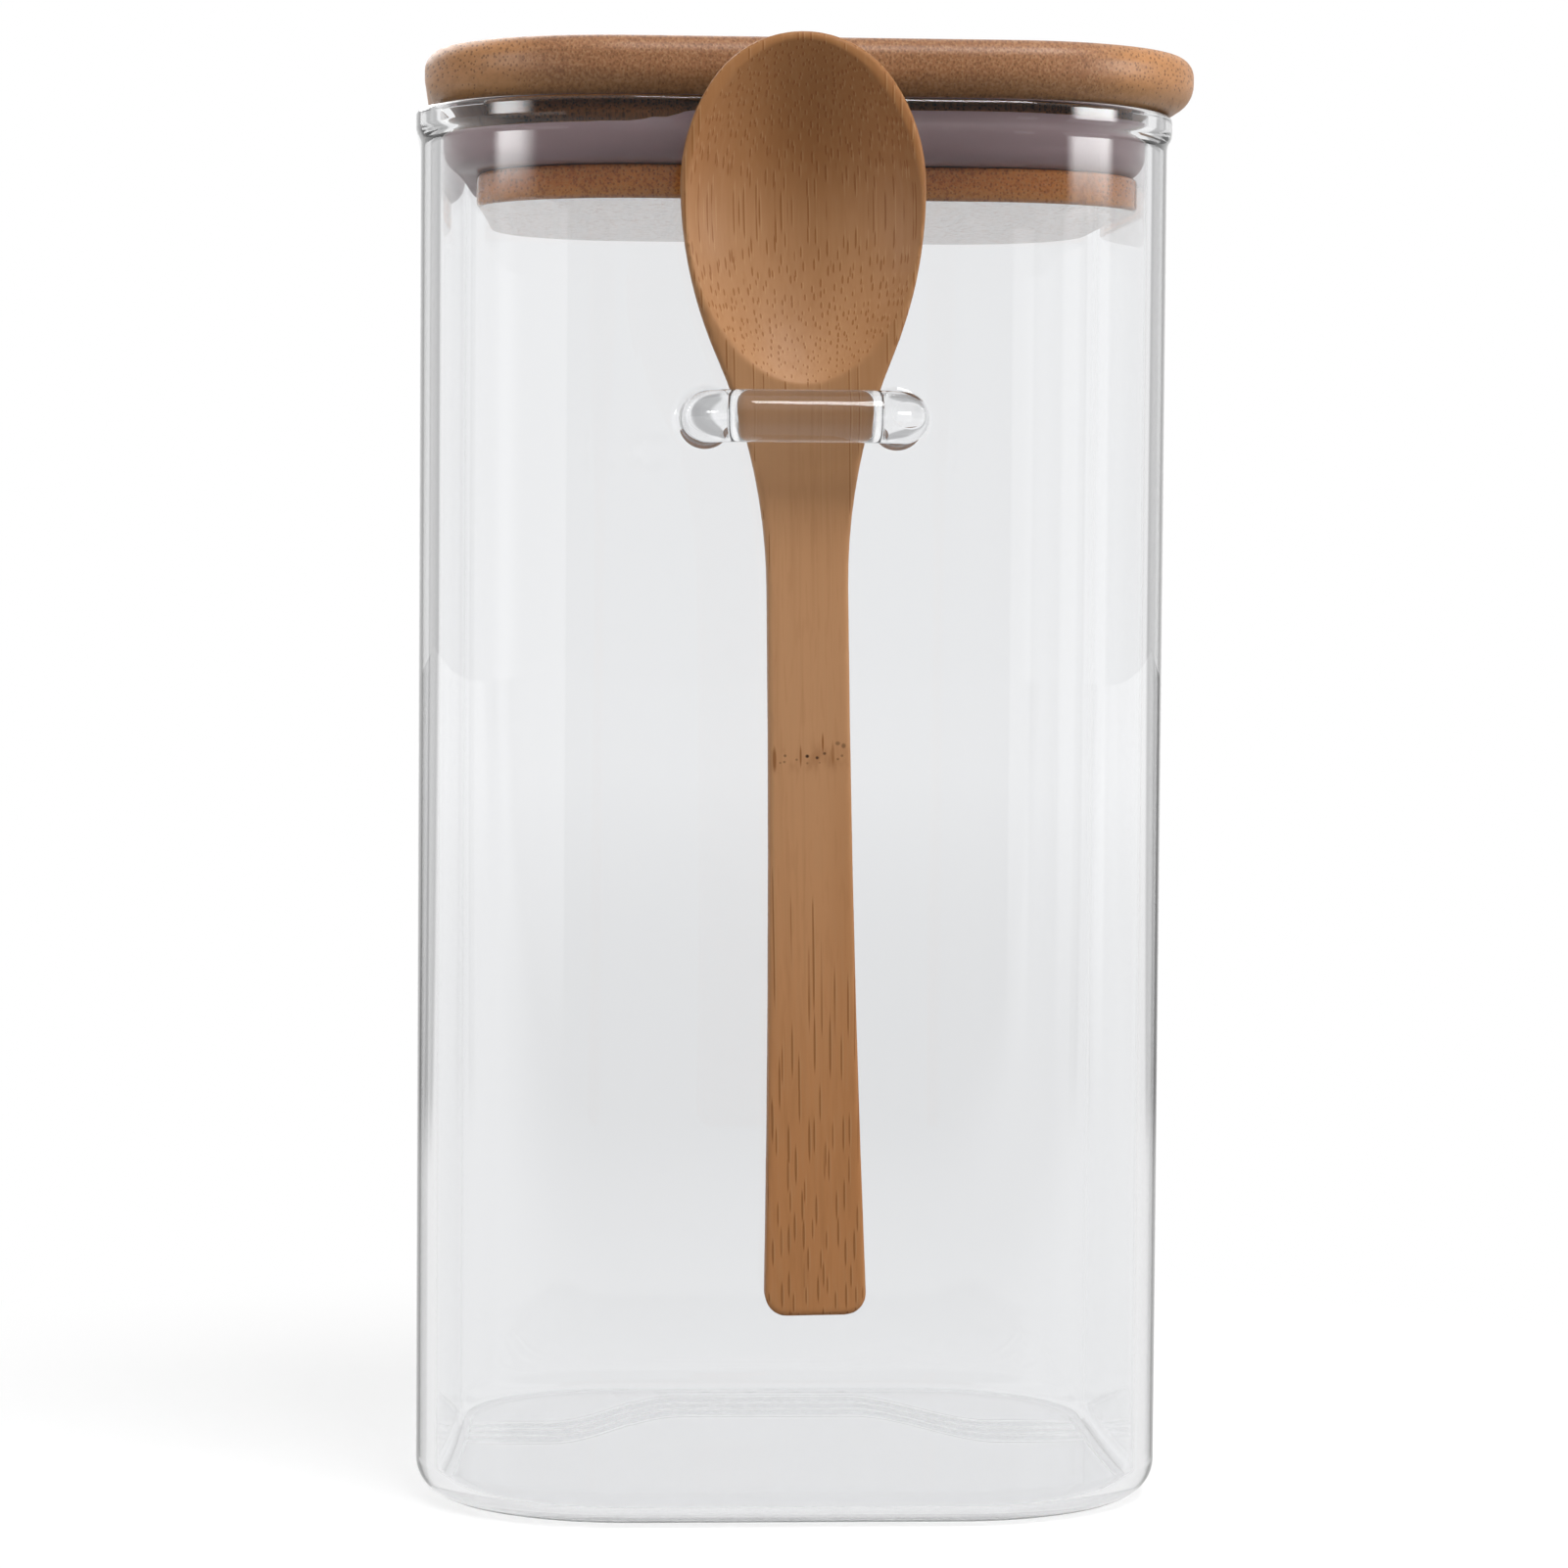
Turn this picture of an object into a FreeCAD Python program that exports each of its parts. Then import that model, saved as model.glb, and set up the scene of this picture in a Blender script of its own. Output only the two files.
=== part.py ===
"""Square glass jar with a bamboo lid, a silicone seal and a spoon hanging in a glass loop.

Frame: +Z up, origin on the table at the centre of the base, the loop and spoon towards -Y.
"""
import FreeCAD, Part
import math
import os

import Sketcher

# Driving dimensions in millimetres, angles in degrees
SIZES = {
    # Glass jar
    "jar_width": 95.0,
    "jar_corner": 27.0,
    "jar_height": 176.2,
    "jar_wall": 2.4,
    "jar_floor": 2.6,
    "base_edge": 4.3,
    "floor_edge": 3.2,
    "rim_height": 3.6,
    "rim_flare": 0.6,
    "rim_edge": 0.8,
    # Bamboo lid: a top board and a plug under it, lying a little to one side in the jar's mouth
    "lid_shift": 1.7,
    "lid_overhang": 1.2,
    "lid_corner": 25.0,
    "lid_thickness": 7.1,
    "lid_top_edge": 2.5,
    "lid_flat": 0.9,
    "plug_gap": 2.95,
    "plug_disc": 4.2,
    "plug_neck": 8.2,
    "plug_edge": 0.6,
    "collar_step": 0.95,
    "collar_room": 0.15,
    # Silicone lip seal in the groove of the plug
    "seal_groove": 3.0,
    "seal_clearance": 0.3,
    "seal_lip": 1.4,
    "seal_band": 1.6,
    "seal_web": 1.8,
    "seal_band_height": 1.2,
    "seal_drop": 1.6,
    # Glass rod loop on the front wall, set by hand a little to one side
    "rod_width": 6.3,
    "loop_drop": 39.5,
    "loop_shift": 0.65,
    "loop_inner_bend": 2.0,
    "foot_flare": 0.8,
    "foot_length": 2.2,
    "spoon_clearance": 0.5,
    # Bamboo spoon, heights measured along it from the loop
    "spoon_end_height": 27.4,
    "spoon_lean_angle": 2.2,
    "spoon_tilt_angle": 1.18,
    "bowl_width": 29.4,
    "bowl_peak": 45.9,
    "bowl_wide": 27.6,
    "crown_join_angle": 34.15,
    "shoulder_round": 52.4,
    "neck_width": 9.7,
    "neck_round": 70.0,
    "handle_flare": 2.6,
    "handle_corner": 2.6,
    "handle_thick": 5.2,
    "handle_blend": 60.0,
    "hollow_depth": 6.5,
    "hollow_rim": 0.5,
    "hollow_top_rim": 0.8,
    "hollow_start": 3.9,
    "bowl_floor": 3.0,
    "tip_thick": 3.4,
    "spoon_edge": 0.5,
}

# Lengths that follow from the driving dimensions, as expressions for the document
SHEET = "sizes."


def term(text):
    """Put the sheet's name before every size named in an expression."""
    words = []
    for word in text.split():
        words.append(SHEET + word if word in SIZES else word)
    return " ".join(words)


LID_SHIFT = term("lid_shift")
LID_WIDTH = term("( jar_width + 2 * lid_overhang )")
PLUG_INSET = term("( jar_wall + plug_gap )")
NECK_INSET = term("( jar_wall + plug_gap + seal_groove )")
COLLAR_INSET = term("( jar_wall + plug_gap + collar_step )")
BAND_RISE = term("( seal_web + seal_band_height + collar_room )")
LIP_INSET = term("( jar_wall + seal_clearance )")
LIP_EDGE = term("( plug_gap - seal_clearance )")
LID_BOTTOM_EDGE = term("( lid_thickness - lid_top_edge - lid_flat )")
DISC_TOP = term("( jar_height - plug_neck )")
WALL_FACE = term("( jar_width / 2 )")
LOOP_HEIGHT = term("( jar_height - loop_drop )")
LOOP_MIDDLE = term("( - loop_shift )")
ROD_RADIUS = term("( rod_width / 2 )")
LOOP_BEND = f"( {ROD_RADIUS} + " + term("loop_inner_bend )")

# The spoon's outline: where the shoulder arc meets the neck arc, and where the neck is narrowest
BOWL_HALF = term("( bowl_width / 2 )")
NECK_HALF = term("( neck_width / 2 )")
ARC_SUM = term("( shoulder_round + neck_round )")
ARC_SINE = f"sqrt( 1 - ( 1 - ( {BOWL_HALF} - {NECK_HALF} ) / {ARC_SUM} ) ^ 2 )"
NECK_LEVEL = term("( bowl_wide - ") + f"{ARC_SUM} * {ARC_SINE} )"
HANDLE_DROP = f"( {LOOP_HEIGHT} - " + term("spoon_end_height )")
HANDLE_END = term("( ( neck_width + handle_flare ) / 2 )")

# The bowl's crown and side are two arcs that meet at the join angle, seen from the side's centre
CROWN_RISE = term("( bowl_peak - bowl_wide )")
JOIN_COSINE = term("cos( crown_join_angle )")
JOIN_SINE = term("sin( crown_join_angle )")
JOIN_SHARE = f"( {JOIN_COSINE} + {JOIN_SINE} - 1 )"
CROWN_ROUND = f"( ( {JOIN_SINE} * {BOWL_HALF} - ( 1 - {JOIN_COSINE} ) * {CROWN_RISE} ) / {JOIN_SHARE} )"
SIDE_ROUND = f"( ( {JOIN_COSINE} * {CROWN_RISE} - ( 1 - {JOIN_SINE} ) * {BOWL_HALF} ) / {JOIN_SHARE} )"

# The loop's legs stand beside the neck, one clearance away from its curve
SEAT_REACH = term("( neck_round - ") + f"{ROD_RADIUS} - " + term("spoon_clearance )")
LEG_PLACE = f"( {NECK_HALF} + " + term("neck_round") + f" - sqrt( {SEAT_REACH} ^ 2 - {NECK_LEVEL} ^ 2 ) )"

# The spoon's thickness: its hollow and its back are turned about one axis in front of it
BOWL_THICK = term("( hollow_depth + bowl_floor )")
TURN_AXIS = term("( ( ( bowl_width / 2 - hollow_rim ) ^ 2 - hollow_depth ^ 2 ) / ( 2 * hollow_depth ) )")
HOLLOW_TOP = term("( bowl_peak - hollow_top_rim )")
HOLLOW_HALF = f"( ( {HOLLOW_TOP} - " + term("hollow_start ) / 2 )")
HOLLOW_MIDDLE = f"( {HOLLOW_TOP} - {HOLLOW_HALF} )"
HOLLOW_ROUND = f"( ( {HOLLOW_HALF} ^ 2 + " + term("hollow_depth ^ 2 ) / ( 2 * hollow_depth ) )")
BACK_SAG = f"( {BOWL_THICK} - " + term("tip_thick )")
BACK_RISE = term("( bowl_peak - ") + f"{HOLLOW_MIDDLE} )"
BACK_ROUND = f"( ( {BACK_RISE} ^ 2 + {BACK_SAG} ^ 2 ) / ( 2 * {BACK_SAG} ) )"

# The spoon's front face stands clear of the lid, and the loop's bar is in front of it
SPOON_FRONT = f"( {WALL_FACE} + {BOWL_THICK} + " + term("lid_overhang + spoon_clearance )")
BAR_PLACE = f"( {SPOON_FRONT} + {ROD_RADIUS} + " + term("spoon_clearance )")

TOLERANCE = 1e-4
# A sketch counts the points of an edge from one, and its own two axes down from minus one
EDGE_POINTS = ("whole", "start", "end", "centre")
SKETCH_AXES = ("across", "upright")
START, END, CENTRE = (EDGE_POINTS.index(name) for name in ("start", "end", "centre"))
ORIGIN, Y_AXIS = (-1 - SKETCH_AXES.index(name) for name in SKETCH_AXES)
THROUGH_ALL = "ThroughAll"
FULL_TURN = 360.0
SIDES = 4

doc = FreeCAD.newDocument("jar")
sheet = doc.addObject("Spreadsheet::Sheet", "sizes")
for row, (name, amount) in enumerate(SIZES.items(), start=1):
    sheet.set(f"A{row}", name)
    sheet.set(f"B{row}", str(amount))
    sheet.setAlias(f"B{row}", name)
doc.recompute()


def value(expression):
    """Work an expression out to a number."""
    return float(sheet.evalExpression(expression.replace(SHEET, "")))


def origin_plane(body, role):
    """Find one of a body's own origin planes."""
    return next(plane for plane in body.Origin.OriginFeatures if plane.Role == role)


def new_body(label):
    """Start a sub-part under its node name."""
    body = doc.addObject("PartDesign::Body", label)
    body.Label = label
    return body


def new_sketch(body, name, role, lift="0", shift="0"):
    """Attach a sketch to an origin plane, lifted along its normal and shifted along its x."""
    sketch = body.newObject("Sketcher::SketchObject", name)
    sketch.AttachmentSupport = (origin_plane(body, role), [""])
    sketch.MapMode = "FlatFace"
    sketch.setExpression("AttachmentOffset.Base.z", lift)
    sketch.setExpression("AttachmentOffset.Base.x", shift)
    return sketch


def point(across, along):
    """A point in a sketch's plane."""
    return FreeCAD.Vector(across, along, 0)


def line(sketch, first, last):
    """Add a straight edge."""
    return sketch.addGeometry(Part.LineSegment(point(*first), point(*last)))


def arc(sketch, centre, radius, first, last):
    """Add an arc that runs anticlockwise between two points."""
    turns = [math.atan2(end[1] - centre[1], end[0] - centre[0]) for end in (first, last)]
    circle = Part.Circle(point(*centre), FreeCAD.Vector(0, 0, 1), radius)
    return sketch.addGeometry(Part.ArcOfCircle(circle, turns[0], turns[1]))


def tie(sketch, kind, *where):
    """Add a geometric constraint."""
    sketch.addConstraint(Sketcher.Constraint(kind, *where))


def size(sketch, name, kind, expression, *where):
    """Add a dimension and bind it to the sheet."""
    index = sketch.addConstraint(Sketcher.Constraint(kind, *where, value(expression)))
    sketch.renameConstraint(index, name)
    sketch.setExpression(f"Constraints.{name}", expression)


def feature(body, kind, name, profile):
    """Add a sketched feature to a body."""
    added = body.newObject(f"PartDesign::{kind}", name)
    added.Profile = profile
    return added


def pad(body, name, profile, length):
    """Raise a profile by a bound length."""
    added = feature(body, "Pad", name, profile)
    added.setExpression("Length", length)
    doc.recompute()
    return added


def pocket(body, name, profile, reverse=False):
    """Cut a profile all the way through on one side."""
    added = feature(body, "Pocket", name, profile)
    added.Type = THROUGH_ALL
    added.Reversed = reverse
    doc.recompute()
    check_cut(body, added)
    return added


def check_cut(body, cut):
    """Stop when a cut has taken nothing away."""
    before = cut.BaseFeature.Shape.Volume
    if cut.Shape.Volume > before - TOLERANCE:
        raise RuntimeError(f"{body.Label}: {cut.Name} cuts nothing")


def turned(body, kind, name, profile):
    """Turn a profile once round its sketch's upright axis."""
    added = feature(body, kind, name, profile)
    added.ReferenceAxis = (profile, ["V_Axis"])
    added.Angle = FULL_TURN
    doc.recompute()
    return added


def mirrored(body, name, original, role):
    """Repeat a feature on the other side of an origin plane."""
    added = body.newObject("PartDesign::Mirrored", name)
    added.Originals = [original]
    added.MirrorPlane = (origin_plane(body, role), [""])
    body.Tip = added
    doc.recompute()
    return added


def rounded(body, name, base, edges, radius):
    """Round the named edges of a feature."""
    added = body.newObject("PartDesign::Fillet", name)
    added.Base = (base, edges)
    added.setExpression("Radius", radius)
    doc.recompute()
    return added


def level_edges(base, level, reach=None, corner_centre=0.0):
    """Name the edges in a level plane, only those at one reach from the corner centres if given."""
    names = []
    for index, edge in enumerate(base.Shape.Edges, start=1):
        box = edge.BoundBox
        if max(abs(box.ZMin - level), abs(box.ZMax - level)) > TOLERANCE:
            continue
        middle = edge.valueAt((edge.FirstParameter + edge.LastParameter) / 2)
        out_x = max(abs(middle.x) - corner_centre, 0.0)
        out_y = max(abs(middle.y) - corner_centre, 0.0)
        if reach is None or abs(math.hypot(out_x, out_y) - reach) < TOLERANCE:
            names.append(f"Edge{index}")
    return names


def rounded_square(body, name, width, corner, lift="0", shift="0"):
    """Sketch a rounded square about the upright axis or shifted from it, at a height."""
    sketch = new_sketch(body, name, "XY_Plane", lift, shift)
    half = value(width) / 2
    radius = value(corner)
    flat = half - radius
    edges = []
    for quarter in range(SIDES):
        cosine = round(math.cos(quarter * math.pi / 2))
        sine = round(math.sin(quarter * math.pi / 2))
        ends = [(half, -flat), (half, flat), (flat, flat), (flat, half)]
        low, high, centre, next_low = [(x * cosine - y * sine, x * sine + y * cosine) for x, y in ends]
        edges.append(line(sketch, low, high))
        edges.append(arc(sketch, centre, radius, high, next_low))
    for index, edge in enumerate(edges):
        tie(sketch, "Tangent", edge, END, edges[(index + 1) % len(edges)], START)
    right, top, left, bottom = edges[0::2]
    for side in (right, left):
        tie(sketch, "Vertical", side)
    for side in (top, bottom):
        tie(sketch, "Horizontal", side)
    for bend in edges[3::2]:
        tie(sketch, "Equal", edges[1], bend)
    size(sketch, "corner", "Radius", corner, edges[1])
    size(sketch, "width", "DistanceX", width, left, START, right, END)
    size(sketch, "depth", "DistanceY", width, bottom, START, top, END)
    tie(sketch, "Symmetric", right, START, left, START, ORIGIN, START)
    return sketch


def inset_square(body, name, inset, lift, shift="0"):
    """Sketch a rounded square that follows the jar's outline at an inset."""
    width = term("( jar_width - 2 * ") + f"{inset} )"
    corner = term("( jar_corner - ") + f"{inset} )"
    return rounded_square(body, name, width, corner, lift, shift)


def make_jar_body():
    """Glass jar: walls and floor of one thickness each, a beaded rim and soft edges."""
    body = new_body("jar_body")
    corner_centre = value(term("jar_width / 2 - jar_corner"))
    wall_reach = value(term("jar_corner"))
    pad(body, "block", inset_square(body, "outline", "0", "0"), term("jar_height"))
    rim_level = term("jar_height - rim_height")
    bead_outline = inset_square(body, "bead_outline", term("( - rim_flare )"), rim_level)
    block = pad(body, "bead", bead_outline, term("rim_height"))
    block = rounded(body, "base_round", block, level_edges(block, 0.0), term("base_edge"))
    inside = inset_square(body, "inside_outline", term("jar_wall"), term("jar_floor"))
    block = pocket(body, "inside", inside, reverse=True)
    floor_ring = level_edges(block, value(term("jar_floor")))
    block = rounded(body, "floor_round", block, floor_ring, term("floor_edge"))
    top = value(term("jar_height"))
    bead_reach = wall_reach + value(term("rim_flare"))
    bead_ring = level_edges(block, top, bead_reach, corner_centre)
    bead_ring += level_edges(block, top, value(term("jar_corner - jar_wall")), corner_centre)
    rounded(body, "rim_round", block, bead_ring, term("rim_edge"))
    return body


def make_lid_cap():
    """Top board of the lid, with a bullnose edge."""
    body = new_body("lid_cap")
    outline = rounded_square(body, "outline", LID_WIDTH, term("lid_corner"), term("jar_height"), LID_SHIFT)
    board = pad(body, "board", outline, term("lid_thickness"))
    low = value(term("jar_height"))
    high = low + value(term("lid_thickness"))
    board = rounded(body, "top_round", board, level_edges(board, high), term("lid_top_edge"))
    rounded(body, "bottom_round", board, level_edges(board, low), LID_BOTTOM_EDGE)
    return body


def make_lid_plug():
    """Plug under the top board: a wide disc, a narrower neck that holds the seal, and a collar above it."""
    body = new_body("lid_plug")
    disc_low = f"{DISC_TOP} - " + term("plug_disc")
    disc_outline = inset_square(body, "disc_outline", PLUG_INSET, disc_low, LID_SHIFT)
    disc = pad(body, "disc", disc_outline, term("plug_disc"))
    rounded(body, "disc_round", disc, level_edges(disc, value(disc_low)), term("plug_edge"))
    neck_outline = inset_square(body, "neck_outline", NECK_INSET, DISC_TOP, LID_SHIFT)
    pad(body, "neck", neck_outline, term("plug_neck"))
    collar_outline = inset_square(body, "collar_outline", COLLAR_INSET, f"{DISC_TOP} + {BAND_RISE}", LID_SHIFT)
    pad(body, "collar", collar_outline, term("plug_neck") + f" - {BAND_RISE}")
    return body


def make_seal_ring():
    """Lip seal: a band in the groove of the plug, a web under it and a free lip along the glass."""
    body = new_body("seal_ring")
    lip_height = term("( plug_neck - seal_drop )")
    web_top = f"{DISC_TOP} + " + term("seal_web")
    block = pad(body, "block", inset_square(body, "lip_outline", LIP_INSET, DISC_TOP), lip_height)
    rounded(body, "lip_round", block, level_edges(block, value(DISC_TOP)), LIP_EDGE)
    lip_inside = f"( {LIP_INSET} + " + term("seal_lip )")
    pocket(body, "cup", inset_square(body, "cup_outline", lip_inside, web_top), reverse=True)
    band_inset = f"( {NECK_INSET} - " + term("seal_band )")
    band_outline = inset_square(body, "band_outline", band_inset, web_top, LID_SHIFT)
    pad(body, "band", band_outline, term("seal_band_height"))
    bore_outline = inset_square(body, "bore_outline", NECK_INSET, DISC_TOP, LID_SHIFT)
    pocket(body, "bore", bore_outline, reverse=True)
    return body


def make_spoon_loop():
    """Loop of glass rod, its two feet spread where they are welded to the wall."""
    body = new_body("spoon_loop")
    leg, bar, face = value(LEG_PLACE), -value(BAR_PLACE), -value(WALL_FACE)
    bend = value(LOOP_BEND)
    path = new_sketch(body, "path", "XY_Plane", LOOP_HEIGHT)
    left = line(path, (-leg, face), (-leg, bar + bend))
    left_bend = arc(path, (bend - leg, bar + bend), bend, (-leg, bar + bend), (bend - leg, bar))
    front = line(path, (bend - leg, bar), (leg - bend, bar))
    right_bend = arc(path, (leg - bend, bar + bend), bend, (leg - bend, bar), (leg, bar + bend))
    right = line(path, (leg, bar + bend), (leg, face))
    route = [left, left_bend, front, right_bend, right]
    for before, after in zip(route, route[1:]):
        tie(path, "Tangent", before, END, after, START)
    tie(path, "Vertical", left)
    tie(path, "Horizontal", front)
    tie(path, "Vertical", right)
    tie(path, "Symmetric", left, START, right, END, Y_AXIS)
    tie(path, "Equal", left_bend, right_bend)
    size(path, "spread", "DistanceX", f"2 * {LEG_PLACE}", left, START, right, END)
    size(path, "face", "DistanceY", WALL_FACE, left, START, ORIGIN, START)
    size(path, "reach", "DistanceY", BAR_PLACE, front, START, ORIGIN, START)
    size(path, "bend", "Radius", LOOP_BEND, left_bend)

    section = new_sketch(body, "section", "XZ_Plane", WALL_FACE)
    centre = point(-leg, value(LOOP_HEIGHT))
    rod = section.addGeometry(Part.Circle(centre, FreeCAD.Vector(0, 0, 1), value(ROD_RADIUS)))
    size(section, "place", "DistanceX", LEG_PLACE, rod, CENTRE, ORIGIN, START)
    size(section, "height", "DistanceY", LOOP_HEIGHT, ORIGIN, START, rod, CENTRE)
    size(section, "radius", "Radius", ROD_RADIUS, rod)
    doc.recompute()
    pipe = feature(body, "AdditivePipe", "rod", section)
    pipe.Spine = (path, [f"Edge{index}" for index in range(1, len(route) + 1)])
    doc.recompute()

    foot = new_sketch(body, "foot_section", "XY_Plane", LOOP_HEIGHT, LEG_PLACE)
    radius = value(ROD_RADIUS)
    spread = radius + value(term("foot_flare"))
    toe = face - value(term("foot_length"))
    weld_round = term("( ( foot_flare ^ 2 + foot_length ^ 2 ) / ( 2 * foot_flare ) )")
    weld = value(weld_round)
    base = line(foot, (0, face), (spread, face))
    flare = arc(foot, (radius + weld, toe), weld, (spread, face), (radius, toe))
    neck = line(foot, (radius, toe), (0, toe))
    core = line(foot, (0, toe), (0, face))
    loop = [(base, END), (flare, START), (flare, END), (neck, START), (neck, END), (core, START)]
    loop += [(core, END), (base, START)]
    for before, after in zip(loop[0::2], loop[1::2]):
        tie(foot, "Coincident", *before, *after)
    tie(foot, "Horizontal", base)
    tie(foot, "Horizontal", neck)
    tie(foot, "Vertical", core)
    tie(foot, "PointOnObject", core, START, Y_AXIS)
    size(foot, "face", "DistanceY", WALL_FACE, base, START, ORIGIN, START)
    size(foot, "length", "DistanceY", term("foot_length"), core, START, core, END)
    size(foot, "spread", "DistanceX", f"{ROD_RADIUS} + " + term("foot_flare"), base, START, base, END)
    size(foot, "radius", "DistanceX", ROD_RADIUS, neck, END, neck, START)
    size(foot, "weld", "Radius", weld_round, flare)
    right_foot = turned(body, "Revolution", "right_foot", foot)
    mirrored(body, "left_foot", right_foot, "YZ_Plane")
    body.setExpression("Placement.Base.x", LOOP_MIDDLE)
    doc.recompute()
    return body


def spoon_back(body):
    """Side section of the spoon, from the turning axis to its back."""
    sketch = new_sketch(body, "back_section", "YZ_Plane", "0", f"- {TURN_AXIS}")
    axis, peak, low = value(TURN_AXIS), value(term("bowl_peak")), -value(HANDLE_DROP)
    handle = axis + value(term("handle_thick"))
    tip = axis + value(term("tip_thick"))
    middle = value(HOLLOW_MIDDLE)
    back, blend = value(BACK_ROUND), value(term("handle_blend"))
    depth = axis + value(BOWL_THICK)
    turn = math.acos(1 - (depth - handle) / (back + blend))
    join = (depth - back * (1 - math.cos(turn)), middle - back * math.sin(turn))
    blend_low = join[1] - blend * math.sin(turn)
    foot = line(sketch, (0, low), (handle, low))
    rear = line(sketch, (handle, low), (handle, blend_low))
    inner = arc(sketch, (handle + blend, blend_low), blend, join, (handle, blend_low))
    outer = arc(sketch, (depth - back, middle), back, join, (tip, peak))
    head = line(sketch, (tip, peak), (0, peak))
    core = line(sketch, (0, peak), (0, low))
    tie(sketch, "Coincident", foot, END, rear, START)
    tie(sketch, "Tangent", rear, END, inner, END)
    tie(sketch, "Tangent", inner, START, outer, START)
    tie(sketch, "Coincident", outer, END, head, START)
    tie(sketch, "Coincident", head, END, core, START)
    tie(sketch, "Coincident", core, END, foot, START)
    for level in (foot, head):
        tie(sketch, "Horizontal", level)
    for upright in (rear, core):
        tie(sketch, "Vertical", upright)
    tie(sketch, "PointOnObject", core, START, Y_AXIS)
    size(sketch, "drop", "DistanceY", HANDLE_DROP, core, END, ORIGIN, START)
    size(sketch, "peak", "DistanceY", term("bowl_peak"), ORIGIN, START, core, START)
    size(sketch, "handle", "DistanceX", f"{TURN_AXIS} + " + term("handle_thick"), foot, START, foot, END)
    size(sketch, "tip", "DistanceX", f"{TURN_AXIS} + " + term("tip_thick"), head, END, head, START)
    size(sketch, "blend", "Radius", term("handle_blend"), inner)
    size(sketch, "back", "Radius", BACK_ROUND, outer)
    size(sketch, "middle", "DistanceY", HOLLOW_MIDDLE, ORIGIN, START, outer, CENTRE)
    return sketch


def spoon_front(body):
    """Rectangle that trims the turned blank to a flat front face."""
    sketch = new_sketch(body, "front_outline", "XZ_Plane")
    wide = f"( {BOWL_HALF} + {BOWL_THICK} + {TURN_AXIS} )"
    high = term("( bowl_peak + bowl_width )")
    low = f"( {HANDLE_DROP} + " + term("bowl_width )")
    half, top, bottom = value(wide), value(high), -value(low)
    corners = [(-half, bottom), (half, bottom), (half, top), (-half, top)]
    sides = [line(sketch, corners[i], corners[(i + 1) % SIDES]) for i in range(SIDES)]
    for index, side in enumerate(sides):
        tie(sketch, "Coincident", side, END, sides[(index + 1) % SIDES], START)
    bottom_side, right_side, top_side, left_side = sides
    tie(sketch, "Symmetric", bottom_side, START, bottom_side, END, Y_AXIS)
    tie(sketch, "Horizontal", top_side)
    tie(sketch, "Vertical", right_side)
    tie(sketch, "Vertical", left_side)
    size(sketch, "half", "DistanceX", wide, ORIGIN, START, bottom_side, END)
    size(sketch, "top", "DistanceY", high, ORIGIN, START, top_side, START)
    size(sketch, "bottom", "DistanceY", low, bottom_side, END, ORIGIN, START)
    return sketch


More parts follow.
